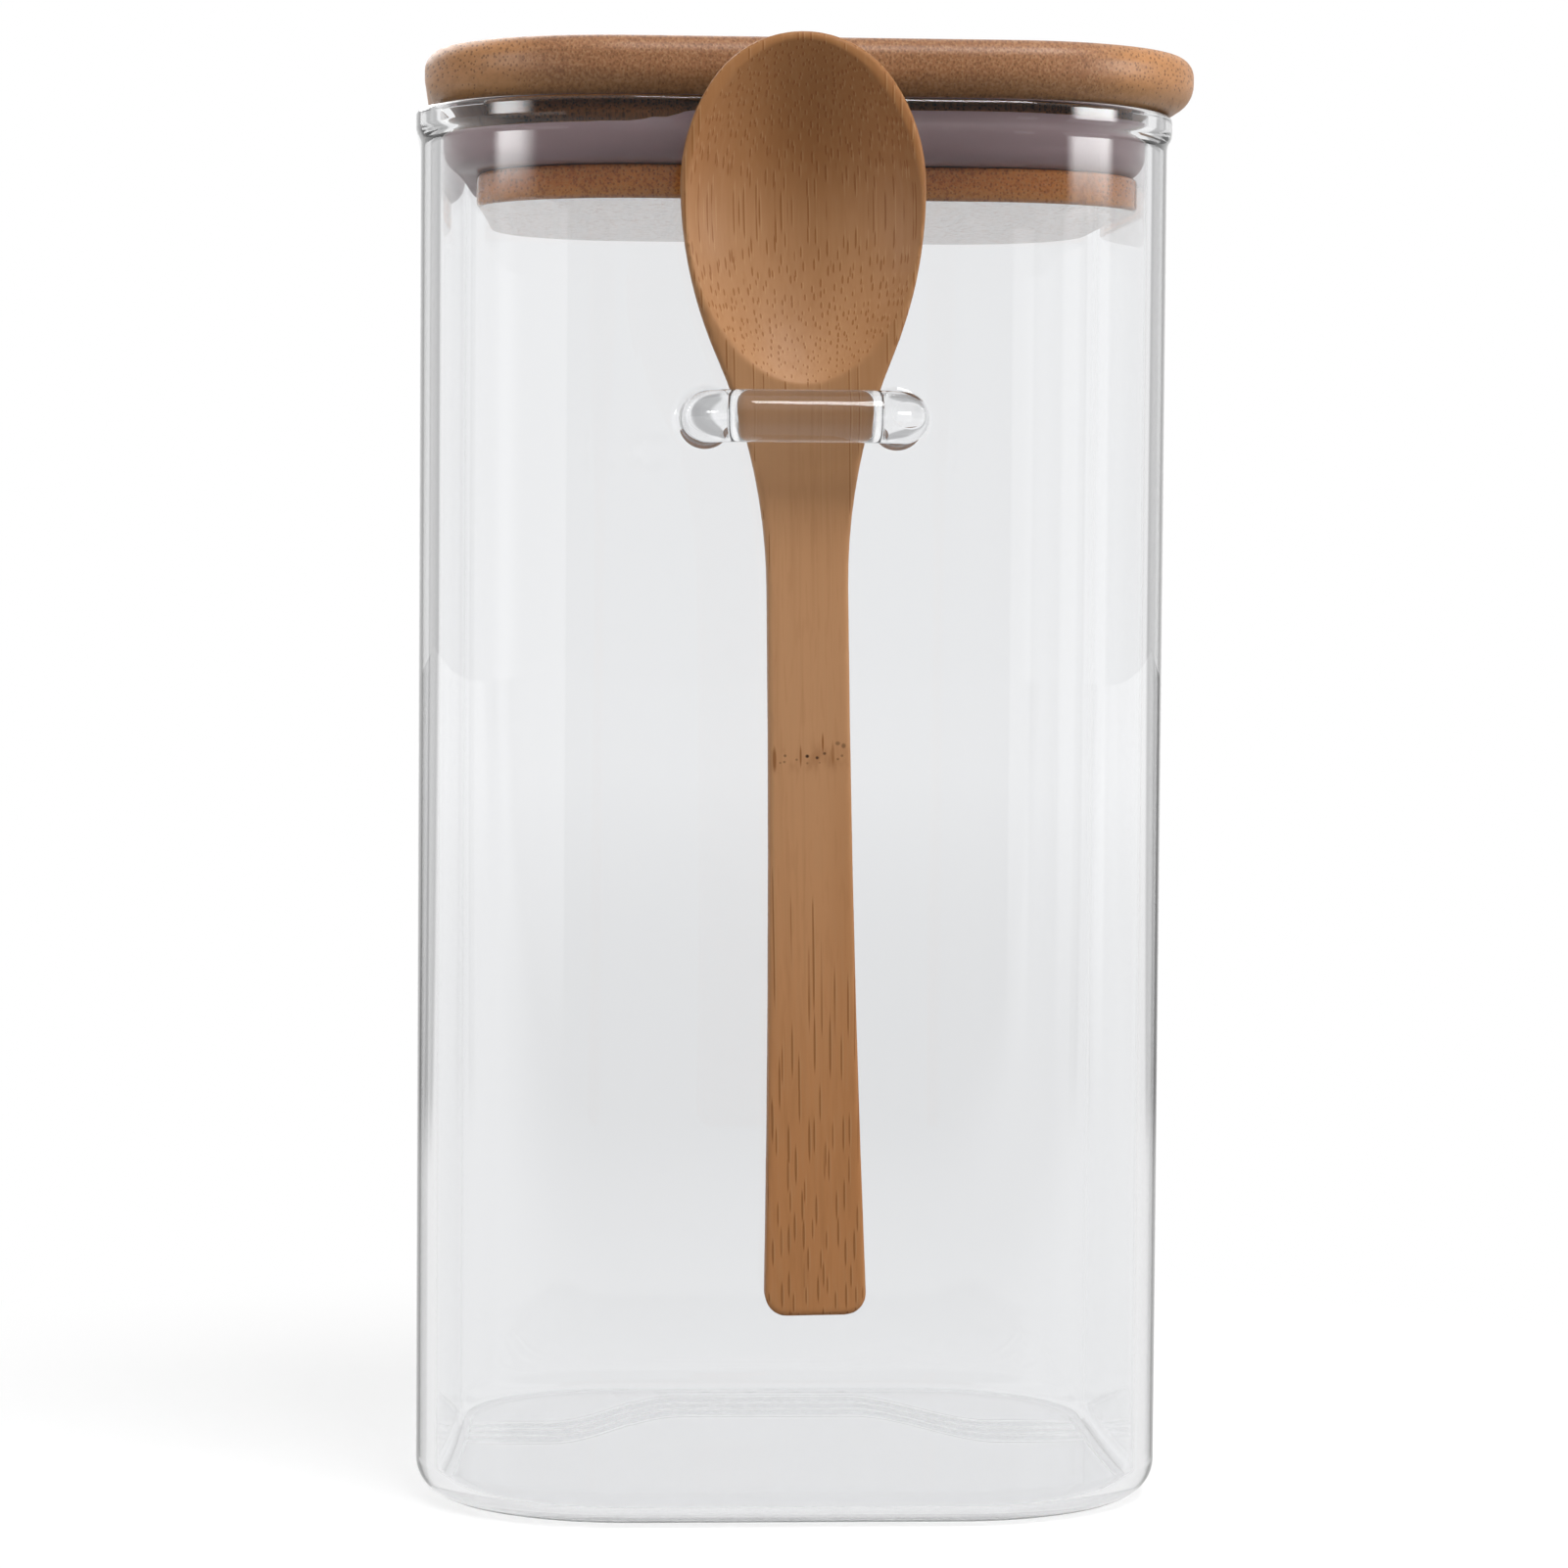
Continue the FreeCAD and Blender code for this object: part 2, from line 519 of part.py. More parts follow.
def spoon_outline(body):
    """What lies outside the right half of the spoon's outline, bowl, neck and handle."""
    sketch = new_sketch(body, "side_outline", "XZ_Plane")
    half, peak, wide = value(BOWL_HALF), value(term("bowl_peak")), value(term("bowl_wide"))
    shoulder, neck = value(term("shoulder_round")), value(term("neck_round"))
    top_round, side = value(CROWN_ROUND), value(SIDE_ROUND)
    top_centre = (0, peak - top_round)
    side_centre = (half - side, wide)
    join = math.radians(value(term("crown_join_angle")))
    top_join = (side_centre[0] + side * math.cos(join), wide + side * math.sin(join))
    waist, waist_level = value(NECK_HALF), value(NECK_LEVEL)
    turn = math.asin(value(ARC_SINE))
    neck_join = (half - shoulder * (1 - math.cos(turn)), wide - shoulder * math.sin(turn))
    corner, low = value(term("handle_corner")), -value(HANDLE_DROP)
    corner_centre = (value(HANDLE_END) - corner, low + corner)
    narrow, drop = waist - corner_centre[0], waist_level - corner_centre[1]
    flare = (narrow ** 2 + drop ** 2 - corner ** 2) / (2 * (corner - narrow))
    share = corner / (flare + corner)
    end_join = (corner_centre[0] + share * (narrow + flare), corner_centre[1] + share * drop)

    crown = arc(sketch, top_centre, top_round, top_join, (0, peak))
    flank = arc(sketch, side_centre, side, (half, wide), top_join)
    slope = arc(sketch, (half - shoulder, wide), shoulder, neck_join, (half, wide))
    waist_arc = arc(sketch, (waist + neck, waist_level), neck, neck_join, (waist, waist_level))
    handle = arc(sketch, (waist + flare, waist_level), flare, (waist, waist_level), end_join)
    heel = arc(sketch, corner_centre, corner, (corner_centre[0], low), end_join)
    end = line(sketch, (corner_centre[0], low), (0, low))
    margin = value(term("bowl_width"))
    reach, above, below = half + margin, peak + margin, low - margin
    frame = [(0, low), (0, below), (reach, below), (reach, above), (0, above), (0, peak)]
    outside = [line(sketch, frame[i], frame[i + 1]) for i in range(len(frame) - 1)]

    tie(sketch, "Tangent", crown, START, flank, END)
    tie(sketch, "Tangent", flank, START, slope, END)
    tie(sketch, "Tangent", slope, START, waist_arc, START)
    tie(sketch, "Tangent", waist_arc, END, handle, START)
    tie(sketch, "Tangent", handle, END, heel, END)
    tie(sketch, "Tangent", heel, START, end, START)
    tie(sketch, "Coincident", end, END, outside[0], START)
    for before, after in zip(outside, outside[1:]):
        tie(sketch, "Coincident", before, END, after, START)
    tie(sketch, "Coincident", outside[-1], END, crown, END)
    tie(sketch, "Horizontal", end)
    for index, edge in enumerate(outside):
        tie(sketch, "Vertical" if index % 2 == 0 else "Horizontal", edge)
    tie(sketch, "PointOnObject", crown, END, Y_AXIS)
    tie(sketch, "PointOnObject", crown, CENTRE, Y_AXIS)
    tie(sketch, "PointOnObject", end, END, Y_AXIS)
    tie(sketch, "Horizontal", flank, CENTRE, flank, START)
    tie(sketch, "Horizontal", waist_arc, CENTRE, waist_arc, END)
    size(sketch, "peak", "DistanceY", term("bowl_peak"), ORIGIN, START, crown, END)
    size(sketch, "half", "DistanceX", BOWL_HALF, ORIGIN, START, flank, START)
    size(sketch, "wide", "DistanceY", term("bowl_wide"), ORIGIN, START, flank, START)
    size(sketch, "crown", "Radius", CROWN_ROUND, crown)
    size(sketch, "shoulder", "Radius", term("shoulder_round"), slope)
    size(sketch, "waist", "DistanceX", NECK_HALF, ORIGIN, START, waist_arc, END)
    size(sketch, "neck", "Radius", term("neck_round"), waist_arc)
    size(sketch, "corner", "Radius", term("handle_corner"), heel)
    heel_place = f"{HANDLE_END} - " + term("handle_corner")
    size(sketch, "heel", "DistanceX", heel_place, ORIGIN, START, heel, CENTRE)
    size(sketch, "drop", "DistanceY", HANDLE_DROP, end, END, ORIGIN, START)
    far_side = outside[2]
    trim_reach = f"{BOWL_HALF} + " + term("bowl_width")
    trim_below = f"{HANDLE_DROP} + " + term("bowl_width")
    size(sketch, "reach", "DistanceX", trim_reach, ORIGIN, START, far_side, START)
    size(sketch, "above", "DistanceY", term("bowl_peak + bowl_width"), ORIGIN, START, far_side, END)
    size(sketch, "below", "DistanceY", trim_below, far_side, START, ORIGIN, START)
    return sketch


def spoon_hollow(body):
    """Section of the bowl's hollow, from the turning axis to its floor."""
    sketch = new_sketch(body, "hollow_section", "YZ_Plane", "0", f"- {TURN_AXIS}")
    axis, top = value(TURN_AXIS), value(HOLLOW_TOP)
    middle, bend = value(HOLLOW_MIDDLE), value(HOLLOW_ROUND)
    low = 2 * middle - top
    floor_centre = (axis + value(term("hollow_depth")) - bend, middle)
    foot = line(sketch, (0, low), (axis, low))
    floor = arc(sketch, floor_centre, bend, (axis, low), (axis, top))
    head = line(sketch, (axis, top), (0, top))
    core = line(sketch, (0, top), (0, low))
    edges = [foot, floor, head, core]
    for before, after in zip(edges, edges[1:] + edges[:1]):
        tie(sketch, "Coincident", before, END, after, START)
    tie(sketch, "Horizontal", foot)
    tie(sketch, "Horizontal", head)
    tie(sketch, "Vertical", core)
    tie(sketch, "PointOnObject", core, START, Y_AXIS)
    size(sketch, "low", "DistanceY", term("hollow_start"), ORIGIN, START, core, END)
    size(sketch, "top", "DistanceY", HOLLOW_TOP, ORIGIN, START, core, START)
    size(sketch, "foot", "DistanceX", TURN_AXIS, foot, START, foot, END)
    size(sketch, "head", "DistanceX", TURN_AXIS, head, END, head, START)
    size(sketch, "floor", "Radius", HOLLOW_ROUND, floor)
    return sketch


def outline_edges(base):
    """Name the edges of the front face, which lies in the plane y = 0."""
    names = []
    for index, edge in enumerate(base.Shape.Edges, start=1):
        box = edge.BoundBox
        if max(abs(box.YMin), abs(box.YMax)) < TOLERANCE:
            names.append(f"Edge{index}")
    return names


def make_spoon():
    """Spoon carved from one blank: bowl up, hollow to the front, handle through the loop."""
    body = new_body("spoon")
    turned(body, "Revolution", "blank", spoon_back(body))
    pocket(body, "front_trim", spoon_front(body), reverse=True)
    side = pocket(body, "right_trim", spoon_outline(body))
    trimmed = mirrored(body, "left_trim", side, "YZ_Plane")
    rounded(body, "front_round", trimmed, outline_edges(trimmed), term("spoon_edge"))
    hollow = turned(body, "Groove", "hollow", spoon_hollow(body))
    check_cut(body, hollow)
    tilt, lean = value(term("spoon_tilt_angle")), value(term("spoon_lean_angle"))
    body.setExpression("Placement.Base.x", LOOP_MIDDLE)
    body.setExpression("Placement.Base.y", f"- {SPOON_FRONT}")
    body.setExpression("Placement.Base.z", LOOP_HEIGHT)
    place = FreeCAD.Vector(value(LOOP_MIDDLE), -value(SPOON_FRONT), value(LOOP_HEIGHT))
    body.Placement = FreeCAD.Placement(place, FreeCAD.Rotation(0, -tilt, lean))
    doc.recompute()
    return body


def check_document(bodies):
    """Stop when any object failed or any sub-part is empty or broken."""
    for item in doc.Objects:
        if "Invalid" in item.State or "Error" in item.State:
            raise RuntimeError(f"{item.Name} failed: {item.State}")
    for body in bodies:
        shape = body.Shape
        if shape.isNull() or not shape.isValid() or len(shape.Solids) != 1:
            raise RuntimeError(f"{body.Label} is not one valid solid")


bodies = [
    make_jar_body(),
    make_spoon_loop(),
    make_lid_cap(),
    make_lid_plug(),
    make_seal_ring(),
    make_spoon(),
]
doc.recompute()
check_document(bodies)
os.makedirs("parts", exist_ok=True)
for body in bodies:
    body.Shape.exportStep(f"parts/{body.Label}.step")
    box = body.Shape.optimalBoundingBox()
    spans = ", ".join(f"{low:.2f}..{high:.2f}" for low, high in
                      ((box.XMin, box.XMax), (box.YMin, box.YMax), (box.ZMin, box.ZMax)))
    print(f"{body.Label}: volume {body.Shape.Volume:.1f}, spans {spans}")
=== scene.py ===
import math

import bmesh
import bpy
from mathutils import Matrix, Vector


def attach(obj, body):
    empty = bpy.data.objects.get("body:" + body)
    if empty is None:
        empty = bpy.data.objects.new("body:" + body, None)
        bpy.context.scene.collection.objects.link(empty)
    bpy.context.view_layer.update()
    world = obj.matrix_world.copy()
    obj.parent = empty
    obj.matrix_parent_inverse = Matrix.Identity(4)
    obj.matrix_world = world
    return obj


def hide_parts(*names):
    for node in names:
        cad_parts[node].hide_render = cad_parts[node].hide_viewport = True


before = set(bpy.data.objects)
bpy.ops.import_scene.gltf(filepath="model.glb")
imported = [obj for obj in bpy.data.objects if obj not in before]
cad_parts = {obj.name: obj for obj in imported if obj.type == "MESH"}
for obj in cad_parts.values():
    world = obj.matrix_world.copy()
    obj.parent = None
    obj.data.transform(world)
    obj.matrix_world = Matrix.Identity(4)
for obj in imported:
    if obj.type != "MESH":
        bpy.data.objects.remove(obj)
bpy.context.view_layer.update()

mm = 0.001
near = 0.01  # how close in mm a point is to count as at a place
weldGap = 0.002  # points closer than this in mm are merged
creaseAngle = 0.35  # in radians
levelNormal = 0.99  # a face counts as level where its normal is at least this steep
print("frame loaded:", ", ".join(sorted(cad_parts)))


# Modelling helpers

def clearSelection():
    bpy.ops.object.select_all(action="DESELECT")


def makeActive(piece):
    clearSelection()
    piece.select_set(True)
    bpy.context.view_layer.objects.active = piece


def pickFaces(test):
    # selects the faces whose middle and normal pass the test
    cage = bmesh.from_edit_mesh(bpy.context.object.data)
    bpy.ops.mesh.select_mode(type="FACE")
    bpy.ops.mesh.select_all(action="DESELECT")
    for face in cage.faces:
        if test(face.calc_center_median() / mm, face.normal):
            face.select_set(True)
    bmesh.update_edit_mesh(bpy.context.object.data)


def pickEdges(test):
    cage = bmesh.from_edit_mesh(bpy.context.object.data)
    bpy.ops.mesh.select_mode(type="EDGE")
    picked = [edge for edge in cage.edges if test(edge)]
    bpy.ops.mesh.select_all(action="DESELECT")
    for edge in picked:
        edge.select_set(True)
    bmesh.update_edit_mesh(bpy.context.object.data)


def pickVerts(test):
    cage = bmesh.from_edit_mesh(bpy.context.object.data)
    bpy.ops.mesh.select_mode(type="VERT")
    bpy.ops.mesh.select_all(action="DESELECT")
    for vert in cage.verts:
        if test(vert.co / mm):
            vert.select_set(True)
    bmesh.update_edit_mesh(bpy.context.object.data)


def pickFlats(height):
    # the level faces at this height in mm
    pickFaces(lambda middle, normal: abs(normal.z) > levelNormal and abs(middle.z - height) < near)


def isCrease(edge):
    return len(edge.link_faces) == 2 and edge.calc_face_angle() > creaseAngle


def atHeight(edge, height):
    return all(abs(vert.co.z / mm - height) < near for vert in edge.verts)


def pickCrease(height):
    # the sharp edges that lie level at this height in mm
    pickEdges(lambda edge: atHeight(edge, height) and isCrease(edge))


def roundEdges(radius, steps):
    bpy.ops.mesh.bevel(offset=radius * mm, offset_type="OFFSET", segments=steps, profile=0.5,
                       affect="EDGES", clamp_overlap=False)


def lift(height):
    bpy.ops.mesh.extrude_region_move(TRANSFORM_OT_translate={"value": (0, 0, height * mm)})


def grow(ratio, place):
    bpy.ops.transform.resize(value=(ratio, ratio, 1), center_override=Vector(place) * mm)


def slide(x, y, z):
    bpy.ops.transform.translate(value=(x * mm, y * mm, z * mm))


def roundedSquare(name, half, corner, place, steps):
    # a flat plate with round corners, left in edit mode with its face selected
    clearSelection()
    bpy.ops.mesh.primitive_plane_add(size=2 * half * mm, location=Vector(place) * mm)
    piece = bpy.context.object
    piece.name = piece.data.name = name
    bpy.ops.object.transform_apply(location=True, rotation=True, scale=True)
    bpy.ops.object.mode_set(mode="EDIT")
    bpy.ops.mesh.select_mode(type="VERT")
    bpy.ops.mesh.select_all(action="SELECT")
    bpy.ops.mesh.bevel(offset=corner * mm, offset_type="OFFSET", segments=steps, profile=0.5,
                       affect="VERTICES", clamp_overlap=False)
    bpy.ops.mesh.select_mode(type="FACE")
    bpy.ops.mesh.select_all(action="SELECT")
    return piece


def mergeDoubles():
    bpy.ops.mesh.select_all(action="SELECT")
    bpy.ops.mesh.remove_doubles(threshold=weldGap * mm)


def closeMesh():
    # merges doubles, turns the faces outwards and leaves edit mode
    mergeDoubles()
    bpy.ops.mesh.normals_make_consistent(inside=False)
    bpy.ops.object.mode_set(mode="OBJECT")


def applyModifier(piece, kind, **settings):
    makeActive(piece)
    modifier = piece.modifiers.new(kind.title(), kind)
    for key, value in settings.items():
        setattr(modifier, key, value)
    bpy.ops.object.modifier_apply(modifier=modifier.name)


def smoothFlats(piece):
    # smooth shading that leaves the large flat faces flat
    makeActive(piece)
    bpy.ops.object.shade_smooth()
    applyModifier(piece, "WEIGHTED_NORMAL", mode="FACE_AREA", weight=90)


def finishPiece(piece, body, nodes, material):
    piece.data.materials.clear()
    piece.data.materials.append(material)
    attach(piece, body)
    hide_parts(*nodes)
    print("made", piece.name, len(piece.data.polygons), "faces")


# Material helpers

def newMaterial(name):
    material = bpy.data.materials.new(name)
    material.use_nodes = True
    return material, material.node_tree, material.node_tree.nodes["Principled BSDF"]


def feed(tree, value, socket):
    if isinstance(value, bpy.types.NodeSocket):
        tree.links.new(value, socket)
    else:
        socket.default_value = value


def calc(tree, operation, first, second=0.0):
    node = tree.nodes.new("ShaderNodeMath")
    node.operation = operation
    feed(tree, first, node.inputs[0])
    feed(tree, second, node.inputs[1])
    return node.outputs[0]


def plus(tree, first, second):
    return calc(tree, "ADD", first, second)


def minus(tree, first, second):
    return calc(tree, "SUBTRACT", first, second)


def times(tree, first, second):
    return calc(tree, "MULTIPLY", first, second)


def reach(tree, value, low, high, bottom=0.0, top=1.0):
    # smooth step from bottom at low to top at high
    node = tree.nodes.new("ShaderNodeMapRange")
    node.interpolation_type = "SMOOTHSTEP"
    for socket, given in zip(node.inputs, (value, low, high, bottom, top)):
        feed(tree, given, socket)
    return node.outputs[0]


def objectPlace(tree):
    return tree.nodes.new("ShaderNodeTexCoord").outputs["Object"]


def placeInMm(tree):
    node = tree.nodes.new("ShaderNodeVectorMath")
    node.operation = "SCALE"
    tree.links.new(objectPlace(tree), node.inputs[0])
    node.inputs["Scale"].default_value = 1 / mm
    return node.outputs[0]


def along(tree, vector, axis):
    node = tree.nodes.new("ShaderNodeVectorMath")
    node.operation = "DOT_PRODUCT"
    feed(tree, vector, node.inputs[0])
    node.inputs[1].default_value = axis
    return node.outputs["Value"]


def combine(tree, x, y, z):
    node = tree.nodes.new("ShaderNodeCombineXYZ")
    for socket, value in zip(node.inputs, (x, y, z)):
        feed(tree, value, socket)
    return node.outputs[0]


def noise(tree, vector, scale, detail=2.0, rough=0.5):
    node = tree.nodes.new("ShaderNodeTexNoise")
    feed(tree, vector, node.inputs["Vector"])
    node.inputs["Scale"].default_value = scale
    node.inputs["Detail"].default_value = detail
    node.inputs["Roughness"].default_value = rough
    return node.outputs[0]


def cells(tree, vector, jitter):
    # flat Voronoi cells: how far off the nearest point is each way, and two random numbers for it
    node = tree.nodes.new("ShaderNodeTexVoronoi")
    node.voronoi_dimensions = "2D"
    feed(tree, vector, node.inputs["Vector"])
    node.inputs["Scale"].default_value = 1.0
    node.inputs["Randomness"].default_value = jitter
    away = tree.nodes.new("ShaderNodeVectorMath")
    away.operation = "SUBTRACT"
    feed(tree, vector, away.inputs[0])
    feed(tree, node.outputs["Position"], away.inputs[1])
    split = tree.nodes.new("ShaderNodeSeparateXYZ")
    tree.links.new(away.outputs[0], split.inputs[0])
    chances = tree.nodes.new("ShaderNodeSeparateColor")
    tree.links.new(node.outputs["Color"], chances.inputs[0])
    return split.outputs[0], split.outputs[1], chances.outputs[0], chances.outputs[1]


def oval(tree, x, y, wide, deep):
    # 1 on the rim of an oval round the middle, less inside
    first = calc(tree, "DIVIDE", x, wide)
    second = calc(tree, "DIVIDE", y, deep)
    return calc(tree, "SQRT", plus(tree, times(tree, first, first), times(tree, second, second)))


def stretched(tree, u, v, w, cross, lengthwise):
    # a place for long patterns: rates per mm across and along the fibres
    return combine(tree, times(tree, u, cross), times(tree, v, cross), times(tree, w, lengthwise))


def blend(tree, amount, first, second, mode="MIX"):
    node = tree.nodes.new("ShaderNodeMix")
    node.data_type = "RGBA"
    node.blend_type = mode
    feed(tree, amount, node.inputs["Factor"])
    for socket, value in zip((node.inputs[6], node.inputs[7]), (first, second)):
        feed(tree, (*value, 1) if isinstance(value, tuple) else value, socket)
    return node.outputs[2]


def relief(tree, shader, height, strength, depth, layer="Normal"):
    node = tree.nodes.new("ShaderNodeBump")
    node.inputs["Strength"].default_value = strength
    node.inputs["Distance"].default_value = depth * mm
    feed(tree, height, node.inputs["Height"])
    tree.links.new(node.outputs[0], shader.inputs[layer])


# Clear glass of the jar and its loop
glassLook = {
    "tint": (0.966, 0.97, 0.977), "deepTint": (0.956, 0.961, 0.968), "ior": 1.47,
    "roughness": 0.0, "waveScale": 28.0, "waveDepth": 0.0045, "stipple": 0.9, "stippleTop": (0.3, 0.8),
}


def clearGlass(name, look):
    material, tree, shader = newMaterial(name)
    place = objectPlace(tree)
    cloud = noise(tree, place, look["waveScale"])
    feed(tree, blend(tree, cloud, look["tint"], look["deepTint"]), shader.inputs["Base Color"])
    shader.inputs["Transmission Weight"].default_value = 1.0
    shader.inputs["IOR"].default_value = look["ior"]
    # the underside that stands on the table is finely stippled
    height = along(tree, placeInMm(tree), (0, 0, 1))
    rough = reach(tree, height, *look["stippleTop"], look["stipple"], look["roughness"])
    feed(tree, rough, shader.inputs["Roughness"])
    relief(tree, shader, cloud, 1.0, look["waveDepth"])
    return material


# Translucent silicone of the seal
siliconeLook = {
    "pale": (0.42, 0.288, 0.3), "dull": (0.32, 0.216, 0.229),
    "cloudScale": 60.0, "cloudDetail": 3.0, "cloudReach": (0.3, 0.7),
    "roughness": (0.36, 0.48), "inner": 0.35, "innerRadius": (1.0, 0.9, 0.9), "innerDepth": 1.5,
    "grainScale": 900.0, "grainStrength": 0.08, "grainDepth": 0.1,
}


def softSilicone(name, look):
    material, tree, shader = newMaterial(name)
    place = objectPlace(tree)
    cloud = noise(tree, place, look["cloudScale"], look["cloudDetail"])
    feed(tree, blend(tree, cloud, look["dull"], look["pale"]), shader.inputs["Base Color"])
    feed(tree, reach(tree, cloud, *look["cloudReach"], *look["roughness"]), shader.inputs["Roughness"])
    shader.inputs["Subsurface Weight"].default_value = look["inner"]
    shader.inputs["Subsurface Radius"].default_value = look["innerRadius"]
    shader.inputs["Subsurface Scale"].default_value = look["innerDepth"] * mm
    relief(tree, shader, noise(tree, place, look["grainScale"]), look["grainStrength"], look["grainDepth"])
    return material


# Bamboo: bundles of fibres run along one axis and show where the surface cuts them
bambooForm = {
    # rates per mm of the long patterns, across and along the fibres
    "wanderAcross": 0.05, "wanderThrough": 0.6, "broadRates": (0.10, 0.012), "streakRates": (1.1, 0.02),
    "streakNoise": (1.0, 4.0, 0.6),
    # bundles: their sizes, how they come and go along the fibres, and how soft their edges are
    "sizes": (0.75, 1.2), "fadeRate": 0.09, "fadeSpread": 90.0, "chanceShare": 0.5, "soft": (-0.05, 0.05),
    "shrink": 0.4, "dotEdge": (1.25, 0.7), "coreEdge": (0.6, 0.15),
    "sheathOff": 1.7, "sheathWide": 0.75, "sheathDeep": 1.2, "sheathEdge": (1.2, 0.5),
    # where the noises of the ground start and stop to show
    "broad": (0.3, 0.7), "streak": (0.45, 0.75), "paleGrain": (0.52, 0.66), "darkGrain": (0.46, 0.32),
    "lathShare": 0.6, "outerShare": 0.8, "outerGrain": 0.3, "innerDots": 0.75,
    "stainAt": 0.3, "stainReach": 2.6, "stainRates": (0.7, 0.3), "stain": (0.45, 0.7), "stainShare": 0.4,
    "markEdge": (1.3, 0.5),
    "ior": 1.5, "roughReach": (0.3, 0.7), "smoother": 0.05, "rougher": 0.07,
    "streakRelief": 0.5, "dotRelief": 0.7, "pitReach": (0.6, 0.72), "reliefDepth": 0.12,
}


def fibrePlace(tree, look):
    # the place in mm, then across, through and along the fibres, then the first two as the fibres wander and bend
    form = bambooForm
    place = placeInMm(tree)
    u, v, w = (along(tree, place, look[axis]) for axis in ("across", "through", "fibre"))
    drift = noise(tree, stretched(tree, u, v, w, form["wanderAcross"], look["wanderRate"]), 1.0, 1.0)
    drift = minus(tree, drift, 0.5)
    wanderU = plus(tree, u, times(tree, drift, look["wander"]))
    past = calc(tree, "MINIMUM", minus(tree, w, look["bendAt"]), 0.0)
    bent = plus(tree, v, times(tree, times(tree, past, past), look["bend"]))
    wanderV = plus(tree, bent, times(tree, drift, look["wander"] * form["wanderThrough"]))
    return place, u, v, w, wanderU, wanderV


def bundles(tree, look, v, w, wanderU, wanderV):
    # a dark oval in the cross-section, with a paler core and a pale sheath at one side
    form = bambooForm
    wide, deep = look["halfWide"], look["halfDeep"]
    section = combine(tree, calc(tree, "DIVIDE", wanderU, look["pitchWide"]),
                      calc(tree, "DIVIDE", wanderV, look["pitchDeep"]), 0.0)
    offU, offV, chance, second = cells(tree, section, look["jitter"])
    offU = times(tree, offU, look["pitchWide"])
    offV = times(tree, offV, look["pitchDeep"])
    size = reach(tree, chance, 0.0, 1.0, *form["sizes"])
    run = combine(tree, times(tree, w, form["fadeRate"]), times(tree, second, form["fadeSpread"]), 0.0)
    fade = plus(tree, times(tree, second, form["chanceShare"]), noise(tree, run, 1.0, 1.0))
    shown = reach(tree, fade, *look["shown"])
    density = reach(tree, v, *look["denseReach"], *look["dense"])
    if look["sparse"]:
        lowStart, lowEnd, highStart, highEnd, fewer = look["sparse"]
        bare = times(tree, reach(tree, w, lowStart, lowEnd, 0.0, fewer), reach(tree, w, highEnd, highStart))
        density = minus(tree, density, bare)
        size = minus(tree, size, times(tree, bare, form["shrink"]))
    inDot = calc(tree, "DIVIDE", oval(tree, offU, offV, wide, deep), size)
    kept = times(tree, shown, reach(tree, minus(tree, density, chance), *form["soft"]))
    beside = minus(tree, offU, wide * form["sheathOff"])
    inSheath = oval(tree, beside, offV, wide * form["sheathWide"], deep * form["sheathDeep"])
    return (times(tree, reach(tree, inDot, *form["dotEdge"]), kept),
            times(tree, reach(tree, inDot, *form["coreEdge"]), kept),
            times(tree, reach(tree, inSheath, *form["sheathEdge"]), kept))


def groundTissue(tree, look, u, v, w, streak, grain):
    # broad tones, painted light and shade along the piece, the laths of a board with painted side light on the
    # outer ones, bands through the board, long streaks and fine grains; also how strong the bundles are on it
    form = bambooForm
    broad = noise(tree, stretched(tree, u, v, w, *form["broadRates"]), 1.0)
    ground = blend(tree, reach(tree, broad, *form["broad"]), look["light"], look["mid"])
    # painted light and shade along the piece, multiplied in between given heights
    for start, end, tone in look["paintedLightAndShade"]:
        ground = blend(tree, reach(tree, w, start, end), ground, tone, "MULTIPLY")
    grainStrength, dotStrength = look["grainStrength"], look["dotStrength"]
    if look["lath"]:
        # each lath has its own tone; the outer ones are smoother with plainer bundles, and lighter and more
        # orange, partly their own tone and partly painted light from the side lamps
        strip = calc(tree, "FLOOR", calc(tree, "DIVIDE", plus(tree, u, look["lathStart"]), look["lath"]))
        tone = tree.nodes.new("ShaderNodeTexWhiteNoise")
        tone.noise_dimensions = "1D"
        tree.links.new(strip, tone.inputs["W"])
        ground = blend(tree, times(tree, tone.outputs["Value"], form["lathShare"]), ground, look["lathTone"])
        outer = reach(tree, calc(tree, "ABSOLUTE", minus(tree, u, look["middle"])), *look["outerFrom"])
        ground = blend(tree, times(tree, outer, form["outerShare"]), ground, look["outerToneAndSideLight"])
        # bands through the board, each from one height to another: tones, and on the plug's collar painted light
        for start, end, bandToneAndLight, strength in look["toneAndLightBands"]:
            ground = blend(tree, reach(tree, v, start, end, 0.0, strength), ground, bandToneAndLight)
        grainStrength = times(tree, reach(tree, outer, 0.0, 1.0, 1.0, form["outerGrain"]), grainStrength)
        dotStrength = times(tree, reach(tree, outer, 0.0, 1.0, form["innerDots"], 1.0), dotStrength)
    ground = blend(tree, reach(tree, streak, *form["streak"], 0.0, look["streakStrength"]), ground, look["dark"])
    for span, colour in ((form["paleGrain"], look["grainColour"]), (form["darkGrain"], look["dark"])):
        ground = blend(tree, times(tree, reach(tree, grain, *span), grainStrength), ground, colour)
    return ground, dotStrength


